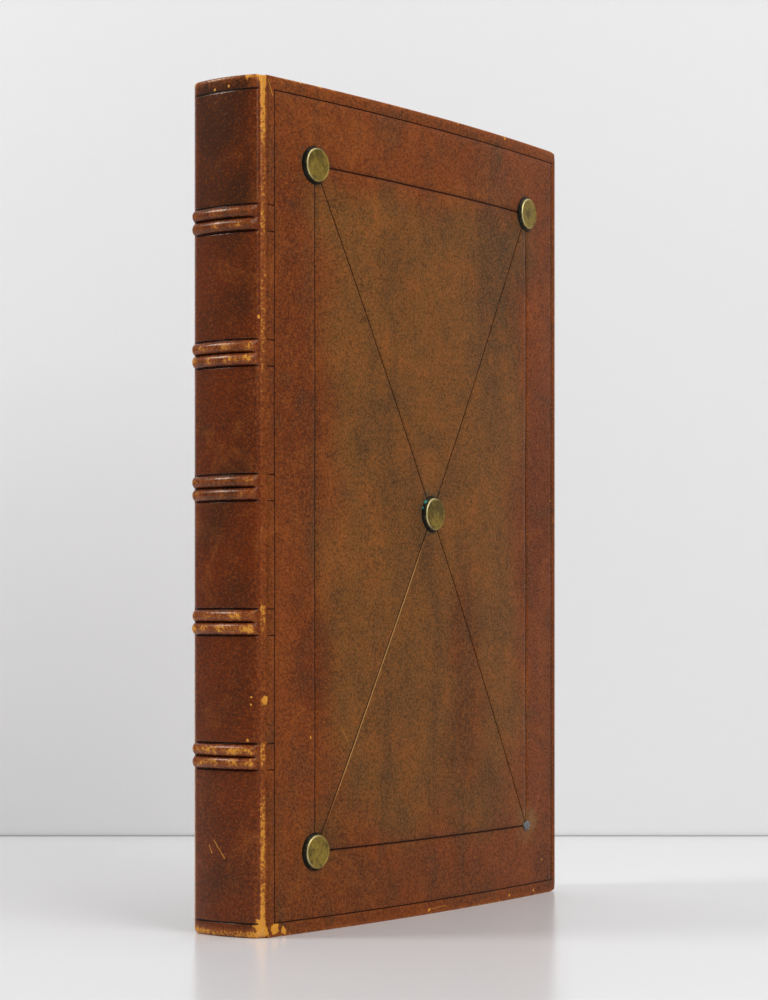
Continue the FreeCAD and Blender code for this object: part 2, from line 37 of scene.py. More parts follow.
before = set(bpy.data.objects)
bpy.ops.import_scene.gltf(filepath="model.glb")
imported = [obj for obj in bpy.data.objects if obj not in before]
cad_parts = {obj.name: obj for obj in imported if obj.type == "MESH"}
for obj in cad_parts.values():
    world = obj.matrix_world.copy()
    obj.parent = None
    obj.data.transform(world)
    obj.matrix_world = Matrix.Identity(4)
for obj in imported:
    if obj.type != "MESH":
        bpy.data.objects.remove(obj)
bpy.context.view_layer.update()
scene = bpy.context.scene
print("frame loaded")

bookOrigin = np.array([-95.1, 0.875, 0.0])  # the ridge's place in the frame, in mm
bookHeight = 310.0
midHeight = bookHeight / 2


def inFrame(x, y, z):
    # book millimetres to frame metres, for whole arrays
    points = np.stack(np.broadcast_arrays(x, y, z), axis=-1).reshape(-1, 3)
    return (points + bookOrigin) / 1000


def srgb(red, green, blue):
    # a colour read off as 0 to 255, made linear
    value = np.array([red, green, blue]) / 255
    linear = np.where(value <= 0.04045, value / 12.92, ((value + 0.055) / 1.055) ** 2.4)
    return (*linear.tolist(), 1.0)


def smooth(low, high, value):
    # 0 below low, 1 above high, with a soft s-curve between
    t = np.clip((value - low) / (high - low), 0, 1)
    return t * t * (3 - 2 * t)


def waver(a, b, size, seed):
    # gentle unevenness from -1 to 1: a sum of seven plane waves about size mm long, at fixed
    # angles and phases
    rng = np.random.RandomState(seed)
    angle = rng.uniform(0, math.pi, 7)
    phase = rng.uniform(0, 2 * math.pi, 7)
    length = size * rng.uniform(0.6, 1.6, 7)
    wave = sum(
        np.sin((a * math.cos(t) + b * math.sin(t)) * 2 * math.pi / s + p)
        for t, s, p in zip(angle, length, phase)
    )
    return wave / 4


def gridFaces(rows, columns, closeColumns=False):
    # quads of a rows by columns grid, counted row by row
    spare = 0 if closeColumns else 1
    row, column = np.meshgrid(np.arange(rows - 1), np.arange(columns - spare), indexing="ij")
    after = (column + 1) % columns
    corners = [row * columns + column, row * columns + after,
               (row + 1) * columns + after, (row + 1) * columns + column]
    return np.stack(corners, axis=-1).reshape(-1, 4)


def makePiece(name, points, faces, marks, material, body=None, nodes=(), tidy=False):
    # marks are numbers kept on the points for the material. A tidied piece has its open rims
    # filled and its faces turned outwards.
    mesh = bpy.data.meshes.new(name)
    mesh.from_pydata(points.tolist(), [], faces)
    for mark, values in marks.items():
        layer = mesh.attributes.new(mark, "FLOAT", "POINT")
        layer.data.foreach_set("value", np.ravel(values).astype(np.float32))
    if tidy:
        work = bmesh.new()
        work.from_mesh(mesh)
        bmesh.ops.holes_fill(work, edges=[edge for edge in work.edges if edge.is_boundary], sides=0)
        bmesh.ops.triangulate(work, faces=[face for face in work.faces if len(face.verts) > 4])
        bmesh.ops.recalc_face_normals(work, faces=work.faces[:])
        work.to_mesh(mesh)
        work.free()
    mesh.shade_smooth()
    mesh.materials.append(material)
    piece = bpy.data.objects.new(name, mesh)
    scene.collection.objects.link(piece)
    if body:
        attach(piece, body)
    if nodes:
        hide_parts(*nodes)
    return piece


# Node helpers

def newGroup(name, inputs, outputs):
    group = bpy.data.node_groups.new(name, "ShaderNodeTree")
    for label, kind, value in inputs:
        socket = group.interface.new_socket(label, in_out="INPUT", socket_type=kind)
        if value is not None:
            socket.default_value = value
    for label in outputs:
        group.interface.new_socket(label, in_out="OUTPUT", socket_type="NodeSocketFloat")
    return group, group.nodes.new("NodeGroupInput").outputs, group.nodes.new("NodeGroupOutput")


def feed(tree, node, values):
    # each value is a socket to link or a constant to set
    for socket, value in values.items():
        if isinstance(value, bpy.types.NodeSocket):
            tree.links.new(value, node.inputs[socket])
        else:
            node.inputs[socket].default_value = value


def addNode(tree, kind, values=(), **settings):
    node = tree.nodes.new(kind)
    for key, value in settings.items():
        setattr(node, key, value)
    feed(tree, node, dict(values))
    return node


def math2(tree, operation, first, second=0.0, clamp=False):
    return addNode(tree, "ShaderNodeMath", {0: first, 1: second}, operation=operation,
                   use_clamp=clamp).outputs[0]


def times(tree, first, second):
    return math2(tree, "MULTIPLY", first, second)


def plus(tree, first, second):
    return math2(tree, "ADD", first, second)


def highest(tree, values):
    top = values[0]
    for value in values[1:]:
        top = math2(tree, "MAXIMUM", top, value)
    return top


def vectors(tree, operation, first, second=(0, 0, 0)):
    return addNode(tree, "ShaderNodeVectorMath", {0: first, 1: second}, operation=operation).outputs


def ramp(tree, value, low, high, start=0.0, end=1.0):
    # a soft step from start to end as value goes from low to high
    node = addNode(tree, "ShaderNodeMapRange", {0: value, 1: low, 2: high, 3: start, 4: end},
                   interpolation_type="SMOOTHSTEP")
    return node.outputs[0]


def blendColour(tree, factor, first, second):
    return addNode(tree, "ShaderNodeMix", {0: factor, 6: first, 7: second}, data_type="RGBA").outputs[2]


def layered(tree, colour, looks, layers):
    # each layer is a share and the name of its colour in looks
    for share, kind in layers:
        colour = blendColour(tree, share, colour, looks[kind])
    return colour


def noise(tree, vector, scale, detail=3.0, rough=0.5, distortion=0.0):
    node = addNode(tree, "ShaderNodeTexNoise",
                   {"Vector": vector, "Scale": scale, "Detail": detail, "Roughness": rough,
                    "Distortion": distortion})
    return node.outputs["Fac"]


def stretched(tree, vector, x, y, z):
    return addNode(tree, "ShaderNodeMapping", {"Vector": vector, "Scale": (x, y, z)}).outputs[0]


def attribute(tree, name):
    return addNode(tree, "ShaderNodeAttribute", attribute_name=name).outputs["Fac"]


def newMaterial(name):
    material = bpy.data.materials.new(name)
    material.use_nodes = True
    tree = material.node_tree
    place = tree.nodes.new("ShaderNodeTexCoord").outputs["Object"]
    return material, tree, tree.nodes["Principled BSDF"], place


def addBump(tree, shader, strength, distance, height):
    bump = addNode(tree, "ShaderNodeBump", {"Strength": strength, "Distance": distance, "Height": height})
    tree.links.new(bump.outputs[0], shader.inputs["Normal"])


def fadeOut(tree, shader, share):
    # clear where share is 1
    clear = tree.nodes.new("ShaderNodeBsdfTransparent").outputs[0]
    either = addNode(tree, "ShaderNodeMixShader", {0: share, 1: shader.outputs[0], 2: clear})
    tree.links.new(either.outputs[0], tree.nodes["Material Output"].inputs["Surface"])


# Camera, floor, wall and lights

view = {
    "eye": (-0.8241, -0.59805, 0.117),
    "heading": (0.8090, 0.5878, 0.0),
    "lens": 93.6,
    "sensor": 36,
    "aspect": 0.768,
    "shift": 0.1122,
    "wallFromEye": 1.358,
    "wallReach": 0.46,
    "wallHeight": 1.5,
    "gapHeight": 0.0007,
    "gapFromWall": 0.001,
    "tableHalf": 3,
    "tableReach": 0.75,
    "skyOnThings": 0.31,
    "skySeen": 0.8,
    "floorColour": srgb(234, 234, 235),
    "wallColour": srgb(237, 237, 238),
    "gapColour": srgb(180, 180, 180),
}

camera = bpy.data.objects.new("camera", bpy.data.cameras.new("camera"))
camera.data.sensor_fit = "VERTICAL"
camera.data.sensor_height = view["sensor"]
camera.data.sensor_width = view["sensor"] * view["aspect"]
camera.data.lens = view["lens"]
camera.data.shift_y = view["shift"]
camera.location = view["eye"]
camera.rotation_euler = Vector(view["heading"]).to_track_quat("-Z", "Y").to_euler()
scene.collection.objects.link(camera)
scene.camera = camera
scene.view_settings.view_transform = "Standard"


def stagePlane(name, corners, material):
    mesh = bpy.data.meshes.new(name)
    mesh.from_pydata(corners, [], [(0, 1, 2, 3)])
    mesh.materials.append(material)
    plane = bpy.data.objects.new(name, mesh)
    scene.collection.objects.link(plane)


floorMaterial, tree, shader, place = newMaterial("paleTable")
feed(tree, shader, {"Base Color": view["floorColour"], "Roughness": 0.22, "IOR": 1.4,
                    "Specular IOR Level": 0.35})
reach = vectors(tree, "LENGTH", place)["Value"]
fadeOut(tree, shader, ramp(tree, reach, view["tableReach"], 2 * view["tableReach"]))
wallMaterial, tree, shader, _ = newMaterial("paleWall")
feed(tree, shader, {"Base Color": view["wallColour"], "Roughness": 0.9})
fadeOut(tree, shader, tree.nodes.new("ShaderNodeNewGeometry").outputs["Backfacing"])
gapMaterial, tree, shader, _ = newMaterial("tableGap")
feed(tree, shader, {"Base Color": view["gapColour"], "Roughness": 0.9})

ahead = Vector(view["heading"])
aside = ahead.cross(Vector((0, 0, 1))) * view["wallReach"]
foot = Vector((*view["eye"][:2], 0)) + ahead * view["wallFromEye"]


def upright(base, height):
    up = Vector((0, 0, height))
    return [tuple(corner) for corner in (base - aside, base + aside, base + aside + up, base - aside + up)]


wide = view["tableHalf"]
stagePlane("table", [(-wide, -wide, 0), (wide, -wide, 0), (wide, wide, 0), (-wide, wide, 0)], floorMaterial)
stagePlane("wall", upright(foot, view["wallHeight"]), wallMaterial)
# a shadow line where the table meets the wall
stagePlane("gap", upright(foot - ahead * view["gapFromWall"], view["gapHeight"]), gapMaterial)

lights = {
    "softboxFront": {"at": (-0.28, -1.2, 0.95), "aim": (0, 0, 0.14), "size": (0.9, 0.9), "watts": 10.6},
    "softboxLeft": {"at": (-0.62, 0.62, 0.86), "aim": (0, 0, 0.16), "size": (0.3, 0.3), "watts": 5.0},
    "softboxTop": {"at": (0.2, -0.35, 1.5), "aim": (0, 0, 0), "size": (1.0, 1.0), "watts": 4.9},
}
for name, values in lights.items():
    lamp = bpy.data.lights.new(name, "AREA")
    lamp.shape = "RECTANGLE"
    lamp.size, lamp.size_y = values["size"]
    lamp.energy = values["watts"]
    light = bpy.data.objects.new(name, lamp)
    light.location = values["at"]
    light.rotation_euler = (Vector(values["aim"]) - light.location).to_track_quat("-Z", "Y").to_euler()
    scene.collection.objects.link(light)

scene.world = bpy.data.worlds.new("paleRoom")
scene.world.use_nodes = True
tree = scene.world.node_tree
seen = tree.nodes.new("ShaderNodeLightPath").outputs["Is Camera Ray"]
feed(tree, tree.nodes["Background"],
     {"Color": (1, 1, 1, 1), "Strength": ramp(tree, seen, 0.0, 1.0, view["skyOnThings"], view["skySeen"])})
print("camera, floor and lights placed")

# The covers' plan

cover = {
    "start": 1.3,
    "width": 197.0,
    "bow": 5.0,
    "step": 1.6,
    "gap": 0.5,
    "skinY": 15.0,
    "edgeRound": 0.6,
    "cornerRound": 2.0,
    "thick": 4.3,
    "turnIn": 16.0,
    "wall": 0.4,
    "border": (5.0, 193.0, 5.0, 305.0),
    "panel": (26.6, 170.4, 29.3, 280.7),
    "lineHalf": 0.42,
    "lineDepth": 0.34,
    "coarse": 2.6,
    "edgeRings": (1.8, 3.0),
    "wornRings": 7,
}

span = cover["width"] - cover["gap"]
chord = math.hypot(span, cover["step"])
arcRadius = chord ** 2 / (8 * cover["bow"]) + cover["bow"] / 2
arcX = (cover["width"] + cover["gap"]) / 2 - (arcRadius - cover["bow"]) * cover["step"] / chord
arcY = (arcRadius - cover["bow"]) * span / chord - (2 * cover["skinY"] + cover["step"]) / 2


def coverFace(x, depth):
    # how far the front cover's surface stands towards -y, depth mm under its skin
    return arcY - np.sqrt((arcRadius - depth) ** 2 - (x - arcX) ** 2)


# Leather

leatherLook = {
    "coverColour": srgb(124, 80, 38),
    "marginColour": srgb(130, 64, 27),
    "spineColour": srgb(110, 41, 7),
    "warmStain": srgb(92, 38, 16),
    "coolStain": srgb(72, 56, 36),
    "darkStain": srgb(50, 25, 13),
    "speckColour": srgb(164, 92, 38),
    "palingColour": srgb(160, 84, 38),
    "rubbedColour": srgb(222, 150, 54),
    "paleRubAndHighlight": srgb(236, 204, 150),
    "toolColour": srgb(26, 12, 10),
    "verdigris": srgb(40, 66, 58),
    "footprint": srgb(136, 104, 66),
    "shineTint": (1.0, 0.8, 0.58, 1.0),
    "pebble": 1350.0,  # grain cells to a metre
}


def makeHide():
    # clouds, stains, creases and pebble grain of calf, all from Object coordinates
    group, given, out = newGroup(
        "hide", [("Vector", "NodeSocketVector", None), ("Pebble", "NodeSocketFloat", 1500.0)],
        ("Clouds", "Blotches", "Streaks", "Specks", "Dust", "Creases", "Grain"))
    vector = given["Vector"]
    # creases are the thin lines where a noise passes its middle value, broken up by another
    folds = noise(group, stretched(group, vector, 1, 1, 1.5), 210.0, 2.0, 0.5, 0.6)
    line = math2(group, "ABSOLUTE", plus(group, folds, -0.5))
    broken = noise(group, vector, 110.0, 2.0, 0.5)
    cells = addNode(group, "ShaderNodeTexVoronoi", {"Vector": vector, "Scale": given["Pebble"]},
                    feature="SMOOTH_F1")
    close = noise(group, stretched(group, vector, 1, 1, 1.4), 1050.0, 2.0, 0.5)
    feed(group, out, {
        "Clouds": noise(group, vector, 16.0, 5.0, 0.6, 0.5),
        "Blotches": noise(group, vector, 70.0, 5.0, 0.62, 0.6),
        "Streaks": noise(group, stretched(group, vector, 60, 60, 13), 1.0, 4.0, 0.6, 0.8),
        "Specks": noise(group, vector, 800.0, 3.0, 0.65),
        "Dust": noise(group, vector, 1700.0, 2.0, 0.6),
        "Creases": times(group, ramp(group, line, 0.0, 0.022, 1.0, 0.0), ramp(group, broken, 0.46, 0.6)),
        "Grain": plus(group, times(group, cells.outputs["Distance"], 0.6), times(group, close, 0.7)),
    })
    return group


def makeChip():
    # 1 inside a ragged spot of one radius about a centre
    group, given, out = newGroup(
        "chip", [("Vector", "NodeSocketVector", None), ("Centre", "NodeSocketVector", None),
                 ("Radius", "NodeSocketFloat", 0.002)], ("Mask",))
    away = vectors(group, "DISTANCE", given["Vector"], given["Centre"])["Value"]
    ragged = times(group, plus(group, noise(group, given["Vector"], 500.0, 3.0), -0.5), 2.6)
    share = plus(group, math2(group, "DIVIDE", away, given["Radius"]), ragged)
    feed(group, out, {"Mask": ramp(group, share, 0.75, 1.05, 1.0, 0.0)})
    return group


def makeScratch():
    # 1 on the line between two points, fading at its sides: the distance from the nearest
    # point a + t (b - a), with t held between 0 and 1
    group, given, out = newGroup(
        "scratch", [("Vector", "NodeSocketVector", None), ("From", "NodeSocketVector", None),
                    ("To", "NodeSocketVector", None), ("Width", "NodeSocketFloat", 0.0003)], ("Mask",))
    run = vectors(group, "SUBTRACT", given["To"], given["From"])[0]
    away = vectors(group, "SUBTRACT", given["Vector"], given["From"])[0]
    share = math2(group, "DIVIDE", vectors(group, "DOT_PRODUCT", away, run)["Value"],
                  vectors(group, "DOT_PRODUCT", run, run)["Value"], clamp=True)
    foot = addNode(group, "ShaderNodeVectorMath", {0: run, "Scale": share}, operation="SCALE").outputs[0]
    gap = math2(group, "DIVIDE", vectors(group, "DISTANCE", away, foot)["Value"], given["Width"])
    broken = times(group, noise(group, given["Vector"], 900.0, 2.0, 0.6), 0.8)
    feed(group, out, {"Mask": ramp(group, plus(group, gap, broken), 0.5, 1.2, 1.0, 0.0)})
    return group


hide = makeHide()
chip = makeChip()
scratch = makeScratch()


def onFace(x, z):
    # a place on the front cover's face
    return (x, float(coverFace(x, 0.0)), z)


def useChip(tree, place, centre, radius):
    return addNode(tree, "ShaderNodeGroup", {"Vector": place, "Centre": inFrame(*centre)[0],
                                             "Radius": radius / 1000}, node_tree=chip).outputs["Mask"]


def useScratch(tree, place, start, end, width):
    return addNode(tree, "ShaderNodeGroup", {"Vector": place, "From": inFrame(*start)[0],
                                             "To": inFrame(*end)[0], "Width": width / 1000},
                   node_tree=scratch).outputs["Mask"]


def makeLeather(name, marks):
    # margin, spine and tone shift the dye from piece to piece; tone runs from cool (-1) to warm
    # (1). rub is wear, tool a pressed line (in the groove between a band's two ridges it is painted
    # shade), shade a darkening of the dye where it is set, and the lip mark a painted highlight along
    # a line's lip, drawn in the pale rubbed colour.
    material, tree, shader, place = newMaterial(name)
    looks = leatherLook
    hidden = addNode(tree, "ShaderNodeGroup", {"Vector": place, "Pebble": looks["pebble"]}, node_tree=hide)
    clouds, blotches, streaks, specks, dust, creases, grain = hidden.outputs
    rub, tool, tone, back, lipHighlight, margin, shade = (
        attribute(tree, label) for label in ("rub", "tool", "tone", "spine", "lipHighlight", "margin", "shade"))
    cooling = ramp(tree, back, 0.0, 1.0, 1.0, 0.25)
    leaning = plus(tree, tone, times(tree, plus(tree, clouds, -0.5), 2.6))
    layers = [
        (margin, "marginColour"),
        (back, "spineColour"),
        (ramp(tree, leaning, 0.05, 0.9, 0.0, 0.55), "warmStain"),
        (ramp(tree, leaning, -0.05, -0.9, 0.0, 0.6), "coolStain"),
        (times(tree, ramp(tree, blotches, 0.48, 0.7, 0.0, 0.4), cooling), "coolStain"),
        (ramp(tree, blotches, 0.5, 0.3, 0.0, 0.34), "speckColour"),
        (times(tree, ramp(tree, streaks, 0.5, 0.74, 0.0, 0.55), cooling), "coolStain"),
        (times(tree, ramp(tree, specks, 0.52, 0.7, 0.0, 0.38), ramp(tree, back, 0.0, 1.0, 1.0, 0.3)),
         "speckColour"),
        (ramp(tree, specks, 0.46, 0.3, 0.0, 0.32), "darkStain"),
        (shade, "darkStain"),
        (times(tree, creases, 0.5), "darkStain"),
        (ramp(tree, grain, 0.54, 0.74, 0.0, 0.42), "darkStain"),
        (ramp(tree, grain, 0.56, 0.4, 0.0, 0.24), "speckColour"),
    ]
    layers += [(times(tree, useChip(tree, place, onFace(*centre), radius), share), kind)
               for kind in ("footprint", "verdigris") for centre, radius, share in marks[kind]]
    colour = layered(tree, looks["coverColour"], looks, layers)
    worn = rub
    for pattern, share in ((specks, 1.0), (dust, 0.7), (streaks, 0.5)):
        worn = plus(tree, worn, times(tree, plus(tree, pattern, -0.5), share))
    # bare leather shows where it is worn, chipped or scratched, and along the diagonal's lip as a painted
    # highlight; that lip and the palest wear take the pale colour
    bareAndHighlight = [times(tree, ramp(tree, worn, 0.5, 0.78), ramp(tree, rub, 0.02, 0.2)), lipHighlight]
    bareAndHighlight += [useChip(tree, place, centre, radius) for centre, radius in marks["chips"]]
    bareAndHighlight += [times(tree, useScratch(tree, place, *line), 0.75) for line in marks["scratches"]]
    bareAndHighlight = highest(tree, bareAndHighlight)
    pale = times(tree, ramp(tree, dust, 0.52, 0.7), ramp(tree, worn, 0.85, 1.2, 0.0, 0.7))
    rubbedAndHighlight = blendColour(tree, highest(tree, [pale, lipHighlight]), looks["rubbedColour"], looks["paleRubAndHighlight"])
    colour = blendColour(tree, ramp(tree, worn, 0.1, 0.55, 0.0, 0.6), colour, looks["palingColour"])
    colour = blendColour(tree, bareAndHighlight, colour, rubbedAndHighlight)
    colour = blendColour(tree, ramp(tree, tool, 0.1, 0.75, 0.0, 0.95), colour, looks["toolColour"])
    gloss = plus(tree, ramp(tree, grain, 0.3, 0.8, 0.4, 0.54), times(tree, bareAndHighlight, 0.18))
    height = plus(tree, plus(tree, grain, times(tree, bareAndHighlight, -0.5)), times(tree, creases, -0.35))
    feed(tree, shader, {
        "Base Color": colour,
        "Roughness": plus(tree, gloss, times(tree, back, -0.25)),
        "Specular IOR Level": times(tree, ramp(tree, back, 0.0, 1.0, 0.12, 0.32),
                                    ramp(tree, tool, 0.1, 0.7, 1.0, 0.3)),
        "Specular Tint": looks["shineTint"],
    })
    addBump(tree, shader, 0.55, 0.00014, times(tree, height, ramp(tree, back, 0.0, 1.0, 1.0, 0.5)))
    return material


# Where the photo shows the leather broken, scratched or stained, in book millimetres
leatherMarks = {
    "chips": [
        ((-1.2, -15.2, 4.8), 2.2), ((0.4, -16.4, 2.5), 2.0), ((0.1, -16.5, 85.4), 1.7),
        ((-3.4, -12.8, 86.5), 0.45), ((-3.4, -12.8, 83.8), 0.45), ((0.2, -16.6, 237.8), 0.6),
        ((-1.6, -15.1, 223.0), 0.8), ((-4.0, -11.4, 71.0), 0.6), ((-4.9, 2.9, 305.7), 0.5),
        ((-4.8, -3.8, 306.4), 0.65), ((-3.6, -12.0, 309.4), 1.3), ((-1.0, -15.2, 309.0), 1.5),
    ] + [
        (onFace(x, z), radius)
        for x, z, radius in (
            (5.0, 3.0, 2.0), (9.5, 2.0, 1.6), (96.6, 1.6, 0.8), (177.0, 2.3, 0.7), (156.5, 2.0, 0.6),
            (152.8, 309.2, 0.8), (116.7, 309.4, 0.7), (24.2, 71.3, 0.5), (184.7, 14.1, 0.5),
            (192.6, 163.6, 0.5))
    ],
    "scratches": [
        ((-4.8, 3.2, 34.6), (-4.85, -1.8, 28.4), 0.45),
        ((-4.6, 5.6, 32.6), (-4.75, 4.2, 30.0), 0.4),
        ((-4.1, -11.0, 71.8), (-3.9, -12.3, 70.4), 0.35),
        (onFace(1.6, 308.4), onFace(4.0, 302.8), 0.35),
        (onFace(41.2, 74.6), onFace(45.0, 69.0), 0.3),
        (onFace(97.4, 1.8), onFace(108.0, 2.4), 0.22),
    ],
    "footprint": [((170.4, 29.3), 7.6, 0.3), ((176.5, 31.0), 4.5, 0.3)],
    "verdigris": [((97.8, 155.8), 8.2, 0.4), ((170.0, 280.7), 7.7, 0.3), ((26.2, 281.0), 7.7, 0.3)],
}
calf = makeLeather("calf", leatherMarks)
print("leather mixed")

# The spine's skin: one closed tube of leather, carried up the book

spine = {
    "halfWidth": 15.0,
    "shoulder": 2.5,
    "backRound": 2.4,
    "corner": (1.4, 3.2),
    "leather": 0.9,
    "bands": np.array([65.0, 113.4, 161.8, 210.2, 258.6]),
    "ridgeSpacing": 4.6,
    "ridgeWidth": 4.5,
    "rise": 1.75,
    "fadeFront": (12.6, 15.6),
    "fadeBack": (12.7, 15.9),
    "bandWear": [0.56, 0.54, 0.36, 0.46, 0.38],
    "crease": 4.75,
    "creaseDepth": 0.35,
    "creaseWidth": 0.36,
    "endCreases": np.array([5.2, 304.8]),
    "capRound": 0.9,
    "tailRound": 1.7,
    "lipY": 14.1,
    "lipX": -0.4,
    "capHollow": 1.1,
    "columns": 97,
}
bandCreases = [middle + sign * spine["crease"] for middle in spine["bands"] for sign in (-1, 1)]


def halfPlan(corner):
    # half of the back in plan: straight side, rounded corner, and shallow arc to the middle
    half, shoulder = spine["halfWidth"], spine["shoulder"]
    radius = (half ** 2 + spine["backRound"] ** 2) / (2 * spine["backRound"])
    centreX = radius - spine["backRound"] - shoulder
    # the corner's circle touches the side (y = half) and the back's arc from inside
    cornerY = half - corner
    cornerX = centreX - math.sqrt((radius - corner) ** 2 - cornerY ** 2)
    touch = math.asin(cornerY / (radius - corner))
    turn = np.linspace(math.pi / 2, math.pi - touch, 60)[1:]
    sweep = np.linspace(touch, 0, 400)[1:]
    straight = np.linspace(0, cornerX, 60)
    x = np.concatenate([straight, cornerX + corner * np.cos(turn), centreX - radius * np.cos(sweep)])
    y = np.concatenate([0 * straight + half, cornerY + corner * np.sin(turn), radius * np.sin(sweep)])
    return x, y


def evenSteps(x, y, count):
    # a line in plan at even steps: its places, the normals to its left, and the lengths along it
    along = np.concatenate([[0], np.cumsum(np.hypot(np.diff(x), np.diff(y)))])
    step = np.linspace(0, along[-1], count)
    x, y = np.interp(step, along, x), np.interp(step, along, y)
    tx, ty = np.gradient(x), np.gradient(y)
    length = np.hypot(tx, ty)
    return (x, y, -ty / length, tx / length), step


def spinePlan(count):
    # the whole back in plan, from the front joint to the back one, with lengths from the middle.
    # The corner towards the back cover is worn rounder.
    (x, y), (backX, backY) = (halfPlan(corner) for corner in spine["corner"])
    middle = np.hypot(np.diff(x), np.diff(y)).sum()
    plan, along = evenSteps(np.concatenate([x, backX[-2::-1]]), np.concatenate([-y, backY[-2::-1]]), count)
    return plan, along - middle


def spineRelief(along, z):
    # height of the skin above the plain back: two half-round ridges to each band, V creases
    # beside them, and a little unevenness
    gap = z[:, None] - spine["bands"][None, :]
    nearest = gap[np.arange(len(z)), np.abs(gap).argmin(axis=1)][:, None]
    half = spine["ridgeWidth"] / 2
    across = np.abs(np.abs(nearest) - spine["ridgeSpacing"] / 2)
    ridge = np.clip(1 - (across / half) ** 2, 0, 1) ** 0.62
    reach = np.abs(along)[None, :]
    uneven = waver(along[None, :], z[:, None], 11, 3)
    low, high = (np.where(along[None, :] < 0, front, back)
                 for front, back in zip(spine["fadeFront"], spine["fadeBack"]))
    fade = 1 - smooth(low, high, reach + 0.35 * uneven)
    creases = np.exp(-((np.abs(nearest) - spine["crease"]) / spine["creaseWidth"]) ** 2)
    ends = np.exp(-((z[:, None] - spine["endCreases"][None, :]) / 0.35) ** 2).sum(axis=1)[:, None]
    inside = 1 - smooth(15.4, 16.2, reach)
    height = spine["rise"] * ridge * fade * (1 + 0.04 * uneven)
    height = height - spine["creaseDepth"] * (creases * inside + ends * inside) * (1 + 0.25 * uneven)
    # the tool mark in the groove between a band's two ridges is painted shade of that recess, in the pressed
    # lines' dark colour
    middle = np.exp(-(nearest / spine["creaseWidth"]) ** 2) * fade
    mark = np.clip((creases + ends) * inside + 0.9 * middle, 0, 1)
    height = height - 0.12 * middle + 0.05 * waver(along[None, :], z[:, None], 37, 4)
    worn = np.interp(z, spine["bands"], spine["bandWear"])[:, None]
    return height, mark, ridge * fade * worn


def spineRows():
    # heights of the grid's rows: close together over the bands and creases
    coarse = np.arange(2.0, 309.0, 2.4)
    close = (spine["bands"][:, None] + np.arange(-5.6, 5.61, 0.2)[None, :]).ravel()
    ends = (spine["endCreases"][:, None] + np.arange(-1.0, 1.01, 0.2)[None, :]).ravel()
    away = np.abs(coarse[:, None] - spine["bands"][None, :]).min(axis=1) > 6.4
    off = np.abs(coarse[:, None] - spine["endCreases"][None, :]).min(axis=1) > 1.6
    rims = [1.8, bookHeight - 1.5, bookHeight - 1.0]
    return np.sort(np.concatenate([coarse[away & off], close, ends, rims]))


def capSection(plan, lip, upper, drop):
    # one end of the skin, from the wall inwards: a rounded edge, a flat cap as far as the lip,
    # the lip's small roll, and back under it. Depths are below the book's end.
    x, y, nx, ny = plan
    lipX, lipY = lip
    capRound = spine["capRound" if upper else "tailRound"]
    turn = np.linspace(0, math.pi / 2, 6)
    rolled = capRound * (1 - np.cos(turn))
    ax, ay = x - nx * capRound, y - ny * capRound
    path = [(x - nx * d, y - ny * d, drop + capRound * (1 - math.sin(t))) for d, t in zip(rolled, turn)]
    for share, depth in ((0.35, 0.02), (0.7, 0.1), (0.93, 0.25)):
        path.append((ax + (lipX - ax) * share, ay + (lipY - ay) * share, drop + depth))
    for push, depth in ((0.05, 0.45), (0.06, 0.75), (0.0, 1.0)):
        path.append((lipX + (lipX - ax) * push, lipY + (lipY - ay) * push, drop + depth))
    path.append((ax + (lipX - ax) * 0.4, ay + (lipY - ay) * 0.4, drop + 1.05))
    points = np.array([[px, py, 0 * px + (bookHeight - depth if upper else depth)] for px, py, depth in path])
    return points.transpose(1, 0, 2)


def carrySkin(name, plan, lip, relief, z, marks, drop):
    # a closed tube of leather: the plan's line carried up the book as an outer wall, a cap at
    # the head, the inner wall down again and a cap at the tail, with both open ends rimmed
    x, y, nx, ny = plan
    inside = slice(None, None, 3)

    def wall(offset, level):
        return np.stack([x + nx * offset, y + ny * offset, level[:, None] + 0 * offset])

    outer = wall(relief, z)
    inner = wall((relief - spine["leather"])[inside], z[inside])[:, ::-1]
    head = capSection(plan, lip, True, drop)
    tail = capSection(plan, lip, False, drop)[:, ::-1]
    points = np.concatenate([outer, head, inner, tail], axis=1)
    rows, columns = points.shape[1:]
    faces = (gridFaces(rows + 1, columns) % (rows * columns))[:, ::-1].tolist()
    kept = {}
    for mark, values in marks.items():
        upper = np.repeat(values[-1:], head.shape[1], axis=0)
        lower = np.repeat(values[:1], tail.shape[1], axis=0)
        # the inner wall has the dye of mid height, and no wear or tooling
        within = np.repeat(values[len(z) // 2][None, :], inner.shape[1], axis=0)
        kept[mark] = np.concatenate([values, upper, within * (mark not in ("rub", "tool")), lower])
    return makePiece(name, inFrame(*points), faces, kept, calf, tidy=True)


def makeSpineSkin():
    plan, along = spinePlan(spine["columns"])
    z = spineRows()
    relief, mark, worn = spineRelief(along, z)
    lipY = spine["lipY"] * np.linspace(-1, 1, len(along))
    lipX = spine["lipX"] - spine["capHollow"] * (1 - (lipY / spine["lipY"]) ** 2)
    plain = np.ones(relief.shape)
    rough = waver(along[None, :], z[:, None], 9, 8)
    rub = np.clip(worn * (1 + 0.4 * rough) + ridgeRub(plan[0], z) + endRub(z), 0, 1)
    tone = 0.35 * np.exp(-((z[:, None] - 160) / 50) ** 2) + 0.3 * waver(along[None, :], z[:, None], 30, 21)
    # shade darkens the dye towards the head and in patches, less so near the joints
    shade = 0.62 * smooth(215, 300, z)[:, None] + 0.4 * waver(along[None, :] * 1.6, z[:, None], 34, 22)
    shade = np.clip(shade + 0.12, 0, 0.8) * (1 - 0.6 * smooth(10, 14, np.abs(along))[None, :])
    marks = {"tool": mark, "rub": rub, "margin": plain, "spine": plain, "tone": tone, "shade": shade}
    piece = carrySkin("spineSkin", plan, (lipX, lipY), relief, z, marks, 0.0)
    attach(piece, "book_block")
    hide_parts("spine_leather")


